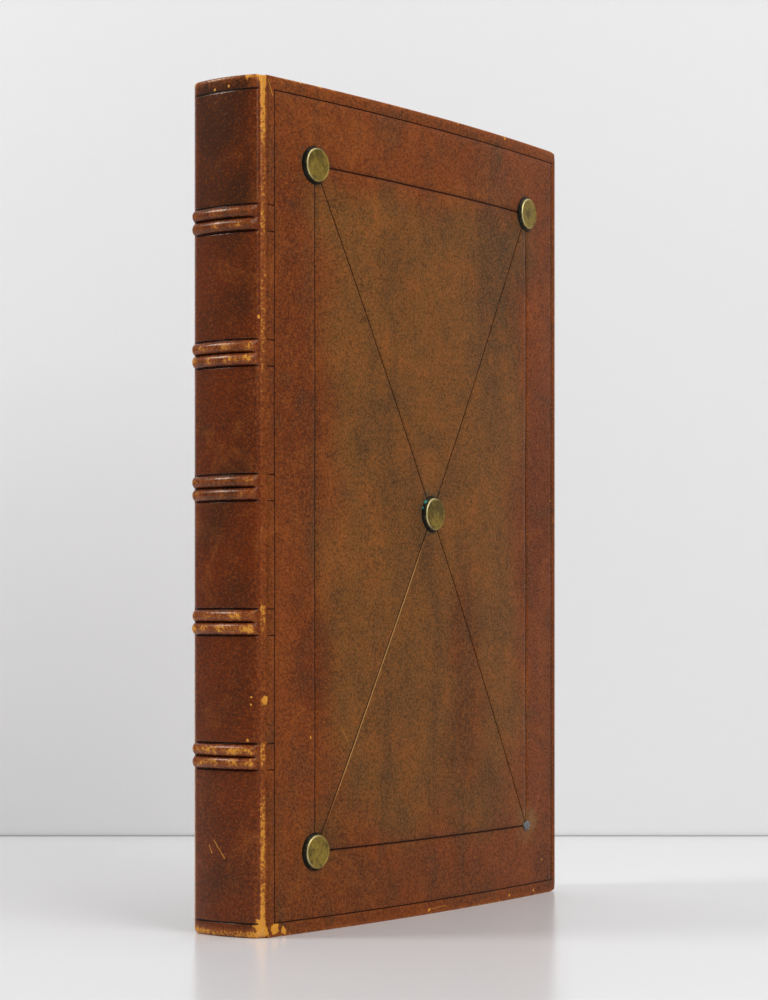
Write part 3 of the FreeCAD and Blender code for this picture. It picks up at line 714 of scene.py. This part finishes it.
# How strongly the joint ridge is rubbed, and how far towards the spine, by height above the
# tail in mm
wear = {
    "heights": [0, 7, 12, 20, 35, 50, 54, 60, 64, 69, 73, 83, 90, 108, 112, 118, 122, 135, 145, 157, 163, 168,
                200, 208, 214, 222, 240, 252, 258, 264, 280, 286, 290, 310],
    "ridge": [0.9, 0.8, 0.7, 0.6, 0.68, 0.62, 0.46, 0.36, 0.7, 0.66, 0.36, 0.42, 0.32, 0.34, 0.56, 0.68,
              0.3, 0.4, 0.42, 0.3, 0.48, 0.36, 0.38, 0.44, 0.5, 0.54, 0.5, 0.52, 0.62, 0.54, 0.52, 0.56,
              0.74, 0.8],
    "spread": [2.2, 1.7, 1.1, 0.8, 1.1, 0.8, 0.7, 0.6, 1.1, 1.1, 0.6, 0.7, 0.5, 0.5, 0.9, 1.0, 0.5, 0.6, 0.6,
               0.5, 0.7, 0.5, 0.5, 0.6, 0.8, 0.8, 0.7, 0.7, 1.0, 0.8, 0.8, 1.2, 1.0, 1.4],
}


def ridgeRub(x, z):
    # a strong core on the ridge itself and a weaker skirt down the spine's side, with a sharp
    # end at the cover
    strength = np.interp(z, wear["heights"], wear["ridge"])[:, None]
    spread = np.interp(z, wear["heights"], wear["spread"])[:, None]
    core = smooth(-1.5, -0.5, x)[None, :]
    skirt = smooth(-spread - 0.9, -spread + 0.4, x[None, :])
    side = np.maximum(strength * core, (0.62 * strength * strength + 0.05) * skirt)
    # a faint paling on the spine's side next to the ridge: partly light wear, partly painted light where that
    # side is lit
    wornAndLitPaling = 0.2 * smooth(-4.2, -2.3, x)[None, :]
    return np.maximum(side, wornAndLitPaling) * (1 - smooth(0.3, 1.1, x))[None, :]


def endRub(z):
    # the ends are rubbed too, most of all at the tail, where the book stands
    below = bookHeight - z
    return (0.6 * (1 - smooth(1.8, 3.0, z)) + 0.42 * (1 - smooth(0.5, 2.2, below))
            + 0.16 * (1 - smooth(3.5, 5, below)))[:, None]


joint = {
    "x": [-1.7, -1.2, -0.6, -0.1, 0.3, 0.65, 1.05, 1.6, 2.4, 3.2],
    "lift": [-0.07, 0.0, 0.1, 0.42, 0.9, 1.28, 1.54, 1.66, 1.78, 1.79],
    "columns": 28,
    "drop": 0.06,
    "lipX": (-1.1, 2.6),
    "lipY": 12.45,
    "bendX": (-0.4, 1.0),
    "bendY": 15.5,
    "blur": 12,
}


def makeJointStrip(side):
    # leather over one joint: from just under the spine's skin, round the ridge, to just under
    # the cover's. Its plan rounds off the listed steps, which lift away from the spine's side.
    turned = 1 if side == "front" else -1
    fine = np.linspace(0, 1, joint["columns"] * 8)
    blur = np.hanning(2 * joint["blur"] + 1)

    def rounded(values):
        line = np.interp(fine, np.linspace(0, 1, len(values)), values)
        padded = np.pad(line, joint["blur"], mode="reflect", reflect_type="odd")
        return np.convolve(padded, blur / blur.sum(), mode="valid")

    (x, y, nx, ny), along = evenSteps(rounded(joint["x"]), -(spine["halfWidth"] + rounded(joint["lift"])),
                                      joint["columns"])
    z = spineRows()
    relief = 0.03 * waver(along[None, :], z[:, None], 23, 12) * smooth(-1.4, -0.6, x)[None, :]
    relief = relief * (1 - smooth(1.4, 2.2, x))[None, :]
    plain = np.zeros(relief.shape)
    tool = plain
    for level in bandCreases:
        line = np.clip(1 - np.abs(z - level) / cover["lineHalf"], 0, 1)[:, None]
        tool = np.maximum(tool, line * smooth(0.7, 1.2, x)[None, :] * 0.8)
    rub = np.clip(ridgeRub(x, z) + endRub(z), 0, 1)
    marks = {"tool": tool, "rub": rub, "margin": plain + 1,
             "spine": plain + 1 - smooth(-0.3, 1.2, x)[None, :], "tone": plain + 0.15}
    lip = (np.linspace(*joint["lipX"], len(x)), np.full(len(x), -joint["lipY"]) * turned)
    plan = (x, y * turned, -nx, -ny * turned)
    piece = carrySkin(f"{side}Joint", plan, lip, relief, z, marks, joint["drop"])
    start, end = (inFrame(edge, -joint["bendY"] * turned, midHeight)[0] for edge in joint["bendX"])
    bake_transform(piece)


makeSpineSkin()
makeJointStrip("front")
makeJointStrip("back")
print("spine and joints made")

# The covers' skins

def offDiagonal(x, z, base, top):
    # distance from the inner rectangle's diagonal that goes from base at its left to top
    left, right = cover["panel"][:2]
    return ((z - base) * (right - left) - (x - left) * (top - base)) / math.hypot(right - left, top - base)


def toolLines(x, z, front):
    # 1 on the middle of a ruled line, falling to 0 at its edges
    half = cover["lineHalf"]

    def line(away, inside, size=1.0):
        return np.clip(1 - np.abs(away) / (half * size), 0, 1) * inside

    def frameLines(box, upright, level):
        left, right, low, high = box
        tall = (z > low - half) & (z < high + half)
        wide = (x > left - half) & (x < right + half)
        return [line(x - left, tall, upright), line(x - right, tall, upright),
                line(z - low, wide, level), line(z - high, wide, level)]

    masks = frameLines(cover["border"], 0.85, 0.9)
    masks += [line(z - level, x < cover["border"][0]) for level in bandCreases]
    if front:
        masks += frameLines(cover["panel"], 0.8, 1.4)
        left, right, low, high = cover["panel"]
        masks += [line(offDiagonal(x, z, *ends), (x > left) & (x < right), 1.05)
                  for ends in ((low, high), (high, low))]
    return np.maximum.reduce(masks)


def lineHighlight(x, z):
    # a painted highlight along the lower diagonal's lip on its right, from near the corner to the middle, in
    # the pale rubbed colour
    away = offDiagonal(x, z, *cover["panel"][2:]) + cover["lineHalf"]
    return 0.55 * np.clip(1 - np.abs(away) / 0.3, 0, 1) * smooth(30, 45, x) * (1 - smooth(85, 95, x))


def gridLines(low, high, specials, step):
    # even steps, with five lines across each special place
    half = cover["lineHalf"]
    close = (np.array(specials)[:, None] + half * np.array([-1, -0.5, 0, 0.5, 1])[None, :]).ravel()
    even = np.linspace(low, high, int((high - low) / step) + 1)
    clear = np.abs(even[:, None] - np.array(specials)[None, :]).min(axis=1) > half + 0.35 * step
    clear[[0, -1]] = True
    return np.sort(np.concatenate([even[clear], close]))


# Large stains of the front cover: x, z, half width and half height in mm, and how warm
stains = [
    (26, 99, 10, 22, 0.8), (122, 114, 13, 24, 0.7), (178, 155, 13, 60, 0.8), (20, 172, 12, 60, 0.7),
    (110, 57, 28, 30, 0.35), (10, 250, 10, 50, 0.5), (30, 60, 10, 14, 0.3),
    (80, 232, 34, 44, -0.3), (147, 238, 16, 36, -0.75), (140, 200, 10, 60, -0.4), (63, 114, 20, 60, -0.35),
    (152, 100, 14, 30, -0.3), (176, 30, 14, 14, -0.5), (170, 262, 18, 16, -0.5), (98, 155, 9, 9, -0.6),
    (39, 51, 14, 24, -0.3), (150, 60, 10, 26, -0.35), (100, 14, 80, 12, -0.35), (110, 297, 80, 10, -0.3),
    (126, 82, 18, 30, 0.5),
]


inset = cover["edgeRound"]
faceBox = (cover["start"], cover["width"] - inset, inset, bookHeight - inset)
faceCorner = cover["cornerRound"] - inset


def readArray(items, field, width=1, kind=int):
    values = np.zeros(len(items) * width, kind)
    items.foreach_get(field, values)
    return values


def coverGrid(front):
    # the outer face laid flat: the grid's lines follow every ruled line, and the corners at
    # the fore-edge are round
    left, right, low, high = faceBox
    uprights, levels = list(cover["border"][:2]), list(cover["border"][2:]) + bandCreases
    if front:
        uprights += cover["panel"][:2]
        levels += cover["panel"][2:]
    xs = gridLines(left, right, uprights, cover["coarse"])
    zs = gridLines(low, high, levels, cover["coarse"])
    x, z = np.meshgrid(xs, zs, indexing="xy")
    # square corners of the grid are pressed on to round ones: the larger of the two distances
    # from the corner's centre becomes the distance from it
    for centreZ, up in ((low + faceCorner, -1), (high - faceCorner, 1)):
        a, b = x - (right - faceCorner), (z - centreZ) * up
        at = (a > 0) & (b > 0)
        scale = np.where(at, np.maximum(a, b) / np.maximum(np.hypot(a, b), 1e-9), 1)
        x = np.where(at, right - faceCorner + a * scale, x)
        z = np.where(at, centreZ + b * scale * up, z)
    flat = bpy.data.meshes.new("flat")
    flat.from_pydata(np.stack([x.ravel(), np.zeros(x.size), z.ravel()], axis=-1).tolist(), [],
                     gridFaces(len(zs), len(xs)).tolist())
    work = bmesh.new()
    work.from_mesh(flat)
    if front:
        x0, x1, z0, z1 = cover["panel"]
        for base, rise in ((z0, z1 - z0), (z1, z0 - z1)):
            normal = Vector((-rise, 0, x1 - x0)).normalized()
            for shift in (-2, -1, -0.5, 0, 0.5, 1, 2):
                spot = Vector((x0, 0, base)) + normal * shift * cover["lineHalf"]
                bmesh.ops.bisect_plane(work, geom=work.verts[:] + work.edges[:] + work.faces[:],
                                       dist=0.02, plane_co=spot, plane_no=normal)
    work.to_mesh(flat)
    work.free()
    spots = readArray(flat.vertices, "co", 3, float).reshape(-1, 3)
    loops = readArray(flat.loops, "vertex_index")
    starts, totals = (readArray(flat.polygons, field) for field in ("loop_start", "loop_total"))
    bpy.data.meshes.remove(flat)
    return spots[:, 0], spots[:, 2], [loops[a:a + n].tolist() for a, n in zip(starts, totals)]


def rimLoop(fx, fz):
    # the face's free edge: along the tail, up the fore-edge, and back along the head
    left, right, low, high = faceBox
    inX = right - faceCorner
    edge = np.minimum(fz - low, high - fz)
    rounded = (np.abs(np.hypot(fx - inX, edge - faceCorner) - faceCorner) < 1e-4) & (edge < faceCorner)
    onTail = np.flatnonzero((fz < low + 1e-4) & (fx < inX + 1e-4))
    onFore = np.flatnonzero((fx > inX + 1e-4) & ((fx > right - 1e-4) | rounded))
    onHead = np.flatnonzero((fz > high - 1e-4) & (fx < inX + 1e-4))
    return np.concatenate([onTail[np.argsort(fx[onTail])],
                           onFore[np.argsort(np.arctan2(fz[onFore] - midHeight, fx[onFore] - right / 2))],
                           onHead[np.argsort(-fx[onHead])]])


def makeCoverSkin(side):
    front = side == "front"
    turned = 1 if front else -1
    left, right, low, high = faceBox
    fx, fz, faces = coverGrid(front)
    loop = rimLoop(fx, fz)
    bx, bz = fx[loop], fz[loop]
    outX = np.maximum(bx - (right - faceCorner), 0)
    outZ = np.where(bz < midHeight, np.minimum(bz - low - faceCorner, 0),
                    np.maximum(bz - high + faceCorner, 0))
    length = np.maximum(np.hypot(outX, outZ), 1e-9)
    outX, outZ = outX / length, outZ / length
    # rings round the board's edge: a rounded turn, the edge itself, and a rounded turn inside
    turn = np.linspace(0, math.pi / 2, 6)[1:]
    offset = np.concatenate([inset * np.sin(turn), [inset, inset], inset * np.cos(turn)])
    depth = np.concatenate([inset * (1 - np.cos(turn)), cover["edgeRings"],
                            cover["thick"] - inset * (1 - np.sin(turn))])
    # the turn-in narrows the whole outline evenly to the window's
    share = np.array([0.08, 0.25, 0.6, 1.0])[:, None]
    window = cover["turnIn"] - inset
    inX = left + (bx - left) * (1 - window / (right - left))
    inZ = midHeight + (bz - midHeight) * (1 - window / (midHeight - inset))
    ringX = np.concatenate([bx + outX * offset[:, None], bx + (inX - bx) * share])
    ringZ = np.concatenate([bz + outZ * offset[:, None], bz + (inZ - bz) * share])
    ringDepth = np.concatenate([depth, np.full(len(share), cover["thick"])])[:, None]
    tool = toolLines(fx, fz, front)
    swell = 0.16 * waver(fx, fz, 70, 5 if front else 6) + 0.04 * waver(fx, fz, 17, 7)
    rim = np.minimum(np.minimum(fz, bookHeight - fz), cover["width"] - fx)
    faceY = coverFace(fx, cover["lineDepth"] * tool - swell * smooth(0.6, 12, rim))
    allX = np.concatenate([fx, ringX.ravel()])
    allZ = np.concatenate([fz, ringZ.ravel()])
    allY = np.concatenate([faceY, coverFace(ringX, ringDepth).ravel()])
    rings = gridFaces(ringX.shape[0], len(loop)) + len(fx)
    first = np.stack([loop[:-1], loop[1:], np.arange(1, len(loop)) + len(fx),
                      np.arange(len(loop) - 1) + len(fx)], axis=-1)
    wrap = np.concatenate([first, rings])[:, ::-1].tolist()
    faces = [face if front else face[::-1] for face in faces + wrap]
    left, right, low, high = cover["panel"]
    beyond = np.maximum.reduce([left - fx, fx - right, low - fz, fz - high])
    margin = smooth(-18, 5, beyond + 8 * waver(fx, fz, 40, 9))
    count = len(allX)
    faceMarks = {
        "tool": tool,
        "margin": margin,
        "rub": 0.36 * (1 - smooth(0.6, 2.2, rim)),
        # painted highlight along the lower diagonal's lip
        "lipHighlight": lineHighlight(fx, fz) if front else 0,
        # shade darkens the dye towards the fore-edge and in patches
        "shade": np.clip(0.2 * smooth(160, 195, fx) + 0.08 * waver(fx, fz, 60, 31), 0, 1),
        "tone": sum(tone * np.exp(-((fx - x) / wide) ** 2 - ((fz - z) / tall) ** 2)
                    for x, z, wide, tall, tone in (stains if front else stains[::2])),
    }
    marks = {mark: np.zeros(count) for mark in faceMarks}
    marks["margin"][:] = 1
    marks["rub"][len(fx): len(fx) + cover["wornRings"] * len(loop)] = 0.5
    for mark, values in faceMarks.items():
        marks[mark][: len(fx)] = values
    piece = makePiece(f"{side}CoverSkin", inFrame(allX, allY * turned, allZ), faces, marks, calf,
                      f"{side}_cover", [f"{side}_cover_leather"])
    skin = piece.modifiers.new("leatherThickness", "SOLIDIFY")
    skin.thickness = cover["wall"] / 1000
    skin.offset = -1


makeCoverSkin("front")
makeCoverSkin("back")
print("covers made")

# Bosses and the bare nail

metal = {
    "bosses": {"TopSpine": ("boss_top_spine", 26.6, 280.7), "TopFore": ("boss_top_fore", 170.4, 280.7),
               "Centre": ("boss_centre", 98.5, 155.0), "BottomSpine": ("boss_bottom_spine", 26.6, 29.3)},
    "bareNail": (170.4, 29.3),
    "greenSpots": [((93.3, 160.0), 0.9), ((92.2, 157.2), 0.6), ((97.4, 158.6), 0.55)],
    "radii": [0.0, 3.0, 5.2, 5.5, 5.75, 5.92, 6.04, 6.3, 6.8, 7.04, 7.1, 5.0, 0.0],
    "rises": [1.62, 1.61, 1.6, 1.58, 1.74, 1.79, 1.7, 1.32, 0.55, 0.1, -0.2, -0.3, -0.3],
    "brassColour": srgb(172, 144, 58),
    "brassDark": srgb(80, 64, 30),
    "rimHighlight": srgb(236, 222, 160),
    "sidePatinaAndShade": srgb(12, 14, 9),
    "verdigris": srgb(56, 140, 120),
    "ironColour": srgb(140, 144, 146),
    "ironDark": srgb(72, 62, 52),
    # side: share of dark patina and painted shade on a boss's edge
    "side": [0, 0, 0.05, 0.2, 0, 0, 0.14, 0.56, 0.58, 0.7, 1, 1, 1],
    # rim: share of the painted highlight on the turn of a boss's face
    "rim": [0, 0, 0, 0.1, 0.8, 1, 0.9, 0.2, 0, 0, 0, 0, 0],
    "nailRadii": [0, 0.6, 1.2, 1.65, 1.95, 2.1, 2.2, 2.2, 0.8, 0.75, 0],
    "segments": 96,
    "nailSegments": 72,
    "nailRises": [1.0, 1.02, 0.98, 0.9, 0.74, 0.45, 0.1, -0.15, -0.2, -3.8, -3.85],
}


def onCover(x, z, across, up, out):
    # local steps along the cover, up and outwards from it, at the point (x, z) of its face
    lean = math.asin((x - arcX) / arcRadius)
    normal = (math.sin(lean), -math.cos(lean))
    baseY = onFace(x, z)[1]
    return inFrame(x + across * math.cos(lean) + out * normal[0],
                   baseY + across * math.sin(lean) + out * normal[1], z + up)


def turnedPiece(name, x, z, radii, rises, segments, lobes, marks, material, finish, nodes):
    # a turned form: the profile's radius and rise carried round a circle whose radius swells by
    # lobes; each mark is a profile and its share round the circle
    angle = np.linspace(0, 2 * math.pi, segments, endpoint=False)
    radius = np.array(radii)[1:-1, None] * (1 + lobes(angle))[None, :]
    rise = np.array(rises)[1:-1, None] + 0 * angle[None, :]
    ring = onCover(x, z, radius * np.cos(angle), radius * np.sin(angle), rise)
    poles = onCover(x, z, np.zeros(2), np.zeros(2), np.array([rises[0], rises[-1]]))
    rows = len(radii) - 2
    points = np.concatenate([ring, poles])
    faces = gridFaces(rows, segments, closeColumns=True)
    first = np.arange(segments)
    after, last = (first + 1) % segments, (rows - 1) * segments
    topFan = np.stack([0 * first + rows * segments, first, after], axis=-1)
    lowFan = np.stack([0 * first + rows * segments + 1, after + last, first + last], axis=-1)
    kept = {mark: np.concatenate([(np.array(profile)[1:-1, None] * share(angle)[None, :]).ravel(),
                                  [profile[0], profile[-1]]])
            for mark, (profile, share) in marks.items()}
    faces = faces.tolist() + topFan.tolist() + lowFan.tolist()
    makePiece(name, points, faces, kept, material, "front_cover", nodes, tidy=True)


def makeBrass():
    # side is 1 on a boss's edge, with dark patina at its foot and painted shade on its side wall, and rim 1
    # where a painted highlight lies on the turn of its face
    material, tree, shader, place = newMaterial("agedBrass")
    mottle = noise(tree, place, 900.0, 6.0, 0.72, 0.4)
    pits = noise(tree, place, 2600.0, 3.0, 0.6)
    cloud = noise(tree, place, 150.0, 3.0, 0.55, 0.6)
    side, rim = attribute(tree, "side"), attribute(tree, "rim")
    # the dark side: patina at the foot and painted shade on the side wall
    patinaAndShade = ramp(tree, plus(tree, side, times(tree, mottle, 0.3)), 0.45, 0.75)
    spots = [useChip(tree, place, onFace(*centre), radius) for centre, radius in metal["greenSpots"]]
    green = highest(tree, [times(tree, ramp(tree, cloud, 0.66, 0.78), 0.25)] + spots)
    layers = [
        (ramp(tree, mottle, 0.38, 0.72, 0.0, 0.62), "brassDark"),
        (ramp(tree, cloud, 0.44, 0.62, 0.0, 0.72), "brassDark"),
        (ramp(tree, pits, 0.5, 0.66, 0.0, 0.5), "brassDark"),
        # painted highlight on the rim
        (times(tree, rim, 0.75), "rimHighlight"),
        (patinaAndShade, "sidePatinaAndShade"),
        (green, "verdigris"),
    ]
    feed(tree, shader, {
        "Base Color": layered(tree, metal["brassColour"], metal, layers),
        "Metallic": math2(tree, "SUBTRACT", plus(tree, 0.7, times(tree, rim, 0.3)),
                          highest(tree, [patinaAndShade, green]), clamp=True),
        "Specular IOR Level": ramp(tree, patinaAndShade, 0.0, 1.0, 0.5, 0.15),
        "Roughness": ramp(tree, mottle, 0.3, 0.7, 0.32, 0.5),
    })
    addBump(tree, shader, 0.2, 0.0001, plus(tree, mottle, pits))
    return material


def makeIron():
    material, tree, shader, place = newMaterial("oldIron")
    mottle = noise(tree, place, 900.0, 4.0, 0.6)
    layers = [(ramp(tree, mottle, 0.4, 0.65), "ironDark")]
    feed(tree, shader, {
        "Base Color": layered(tree, metal["ironColour"], metal, layers),
        "Metallic": 0.7,
        "Roughness": ramp(tree, mottle, 0.3, 0.7, 0.35, 0.6),
    })
    addBump(tree, shader, 0.5, 0.0002, mottle)
    return material


def allRound(angle):
    return 1 + 0 * angle


def highlightTowardsSpine(angle):
    # a painted highlight on the bosses' rims, strongest on the side towards the spine
    return 0.1 + 0.9 * smooth(-0.2, 0.9, np.cos(angle - 2.75))


def nailOutline(angle):
    # a six-sided head, hammered out of true
    return 0.045 * np.cos(6 * angle) + 0.05 * np.sin(2 * angle + 1) + 0.02 * np.sin(9 * angle)


brass, iron = makeBrass(), makeIron()
bossMarks = {"side": (metal["side"], allRound), "rim": (metal["rim"], highlightTowardsSpine)}
for label, (node, x, z) in metal["bosses"].items():
    turnedPiece(f"boss{label}", x, z, metal["radii"], metal["rises"], metal["segments"],
                lambda angle: 0.006 * np.sin(2 * angle + x) + 0.003 * np.sin(5 * angle + x),
                bossMarks, brass, "brass", [node])
turnedPiece("bareNail", *metal["bareNail"], metal["nailRadii"], metal["nailRises"], metal["nailSegments"],
            nailOutline, {"side": ([0] * len(metal["nailRadii"]), allRound)}, iron, "iron",
            ["nail_bottom_fore"])
print("metal made")

# Leaves, boards, cords and headbands

inner = {
    "leafColour": srgb(222, 208, 178),
    "leafShade": srgb(168, 146, 110),
    "paperColour": srgb(216, 202, 172),
    "foxing": srgb(160, 118, 70),
    "boardColour": srgb(146, 128, 102),
    "cordColour": srgb(186, 164, 122),
    "liningColour": srgb(176, 156, 122),
    "threadOne": srgb(206, 190, 150),
    "threadTwo": srgb(120, 52, 36),
    "threadDust": srgb(96, 80, 60),
    "boardShade": srgb(96, 82, 64),
    "liningShade": srgb(120, 98, 70),
    "cordShade": srgb(120, 98, 66),
}


def makeLeaves():
    # thin shadows between the leaves run along the block, and dust lies in scattered patches
    material, tree, shader, place = newMaterial("leafEdges")
    sheets = noise(tree, stretched(tree, place, 6, 5200, 6), 1.0, 3.0, 0.7)
    groups = noise(tree, stretched(tree, place, 4, 900, 4), 1.0, 2.0, 0.5)
    dust = noise(tree, place, 30.0, 4.0, 0.6)
    layers = [
        (ramp(tree, sheets, 0.42, 0.62), "leafShade"),
        (ramp(tree, groups, 0.55, 0.75, 0.0, 0.45), "leafShade"),
        (ramp(tree, dust, 0.5, 0.8, 0.0, 0.4), "foxing"),
    ]
    feed(tree, shader, {"Base Color": layered(tree, inner["leafColour"], inner, layers), "Roughness": 0.85})
    addBump(tree, shader, 0.6, 0.0002, plus(tree, sheets, times(tree, groups, 1.5)))
    return material


def makePlain(name, colour, shade, share, scale, rough, depth):
    # an even sheet or board with cloudy ageing, small spots and a fibrous surface
    material, tree, shader, place = newMaterial(name)
    cloud = noise(tree, place, scale, 5.0, 0.6)
    spots = noise(tree, place, scale * 9, 3.0, 0.6)
    fibres = noise(tree, place, 2600.0, 3.0, 0.6)
    layers = [(ramp(tree, cloud, 0.4, 0.8, 0.0, share), shade),
              (ramp(tree, spots, 0.66, 0.74, 0.0, share), shade)]
    feed(tree, shader, {"Base Color": layered(tree, inner[colour], inner, layers),
                        "Roughness": ramp(tree, fibres, 0.2, 0.8, rough - 0.08, rough)})
    addBump(tree, shader, 0.4, depth, fibres)
    return material


def makeHemp():
    # plies of a cord, as slanting bands of light and shade
    material, tree, shader, place = newMaterial("hempCord")
    twist = addNode(tree, "ShaderNodeTexWave", {"Vector": place, "Scale": 420.0, "Distortion": 1.5,
                                                "Detail": 2.0, "Detail Scale": 3.0},
                    wave_type="BANDS", bands_direction="DIAGONAL").outputs["Fac"]
    fuzz = noise(tree, place, 3200.0, 2.0)
    layers = [(ramp(tree, twist, 0.35, 0.65), "cordShade")]
    feed(tree, shader, {"Base Color": layered(tree, inner["cordColour"], inner, layers),
                        "Roughness": ramp(tree, fuzz, 0.2, 0.8, 0.6, 0.8)})
    addBump(tree, shader, 0.5, 0.0002, plus(tree, twist, times(tree, fuzz, 0.4)))
    return material


leaves = makeLeaves()
endpaper = makePlain("agedPaper", "paperColour", "foxing", 0.3, 22.0, 0.85, 0.00005)
millboard = makePlain("millboard", "boardColour", "boardShade", 0.5, 60.0, 0.9, 0.0002)
lining = makePlain("liningPaper", "liningColour", "liningShade", 0.5, 60.0, 0.88, 0.0001)
hemp = makeHemp()
finishes = {"text_block": leaves, "spine_linings": lining}
for side in ("front", "back"):
    finishes.update({f"{side}_free_endpaper": endpaper, f"{side}_pastedown": endpaper,
                     f"{side}_board": millboard, f"{side}_slips": hemp})
finishes.update({f"sewing_cord_{number}": hemp for number in range(1, 6)})
finishes.update({f"nail_{spot}": iron for spot in ("top_spine", "top_fore", "centre", "bottom_spine")})
for node, material in finishes.items():
    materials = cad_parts[node].data.materials
    materials.clear()
    materials.append(material)

headband = {"reach": 11.5, "thick": 1.02, "stitch": 0.75, "radius": 45.9, "centreX": 43.175,
            "steps": 260, "sides": 18, "fromEnd": 2.5}


def makeHeadband(end, z):
    # silk sewn over a core: a tube along the back's arc whose radius swells at each stitch
    reach = math.asin(headband["reach"] / headband["radius"])
    steps, sides = headband["steps"], headband["sides"]
    turn = np.linspace(-reach, reach, steps)[:, None]
    circle = np.linspace(0, 2 * math.pi, sides, endpoint=False)[None, :]
    along = turn * headband["radius"]
    stitch = np.abs(np.sin(math.pi * (along / headband["stitch"] + circle / (4 * math.pi))))
    taper = np.sqrt(np.clip(1 - (np.abs(turn) / reach) ** 40, 0.02, 1))
    size = headband["thick"] * (0.9 + 0.1 * stitch) * taper
    radius = headband["radius"] + size * np.cos(circle)
    x = headband["centreX"] - radius * np.cos(turn)
    y = radius * np.sin(turn)
    faces = gridFaces(steps, sides, closeColumns=True).tolist()
    faces += [list(range(sides))[::-1], list(range((steps - 1) * sides, steps * sides))]
    thread = (np.floor(along / (headband["stitch"] * 4)) % 2) + 0 * circle
    makePiece(f"headband{end}", inFrame(x, y, z + size * np.sin(circle)), faces, {"thread": thread}, silk,
              "book_block", [f"headband_{end.lower()}"])


silk, tree, shader, place = newMaterial("headbandSilk")
layers = [(attribute(tree, "thread"), "threadTwo"),
          (ramp(tree, noise(tree, place, 700.0, 3.0), 0.4, 0.8, 0.0, 0.5), "threadDust")]
feed(tree, shader, {"Base Color": layered(tree, inner["threadOne"], inner, layers), "Roughness": 0.6})
makeHeadband("Head", bookHeight - headband["fromEnd"])
makeHeadband("Tail", headband["fromEnd"])
print("leaves, boards, cords and headbands finished")
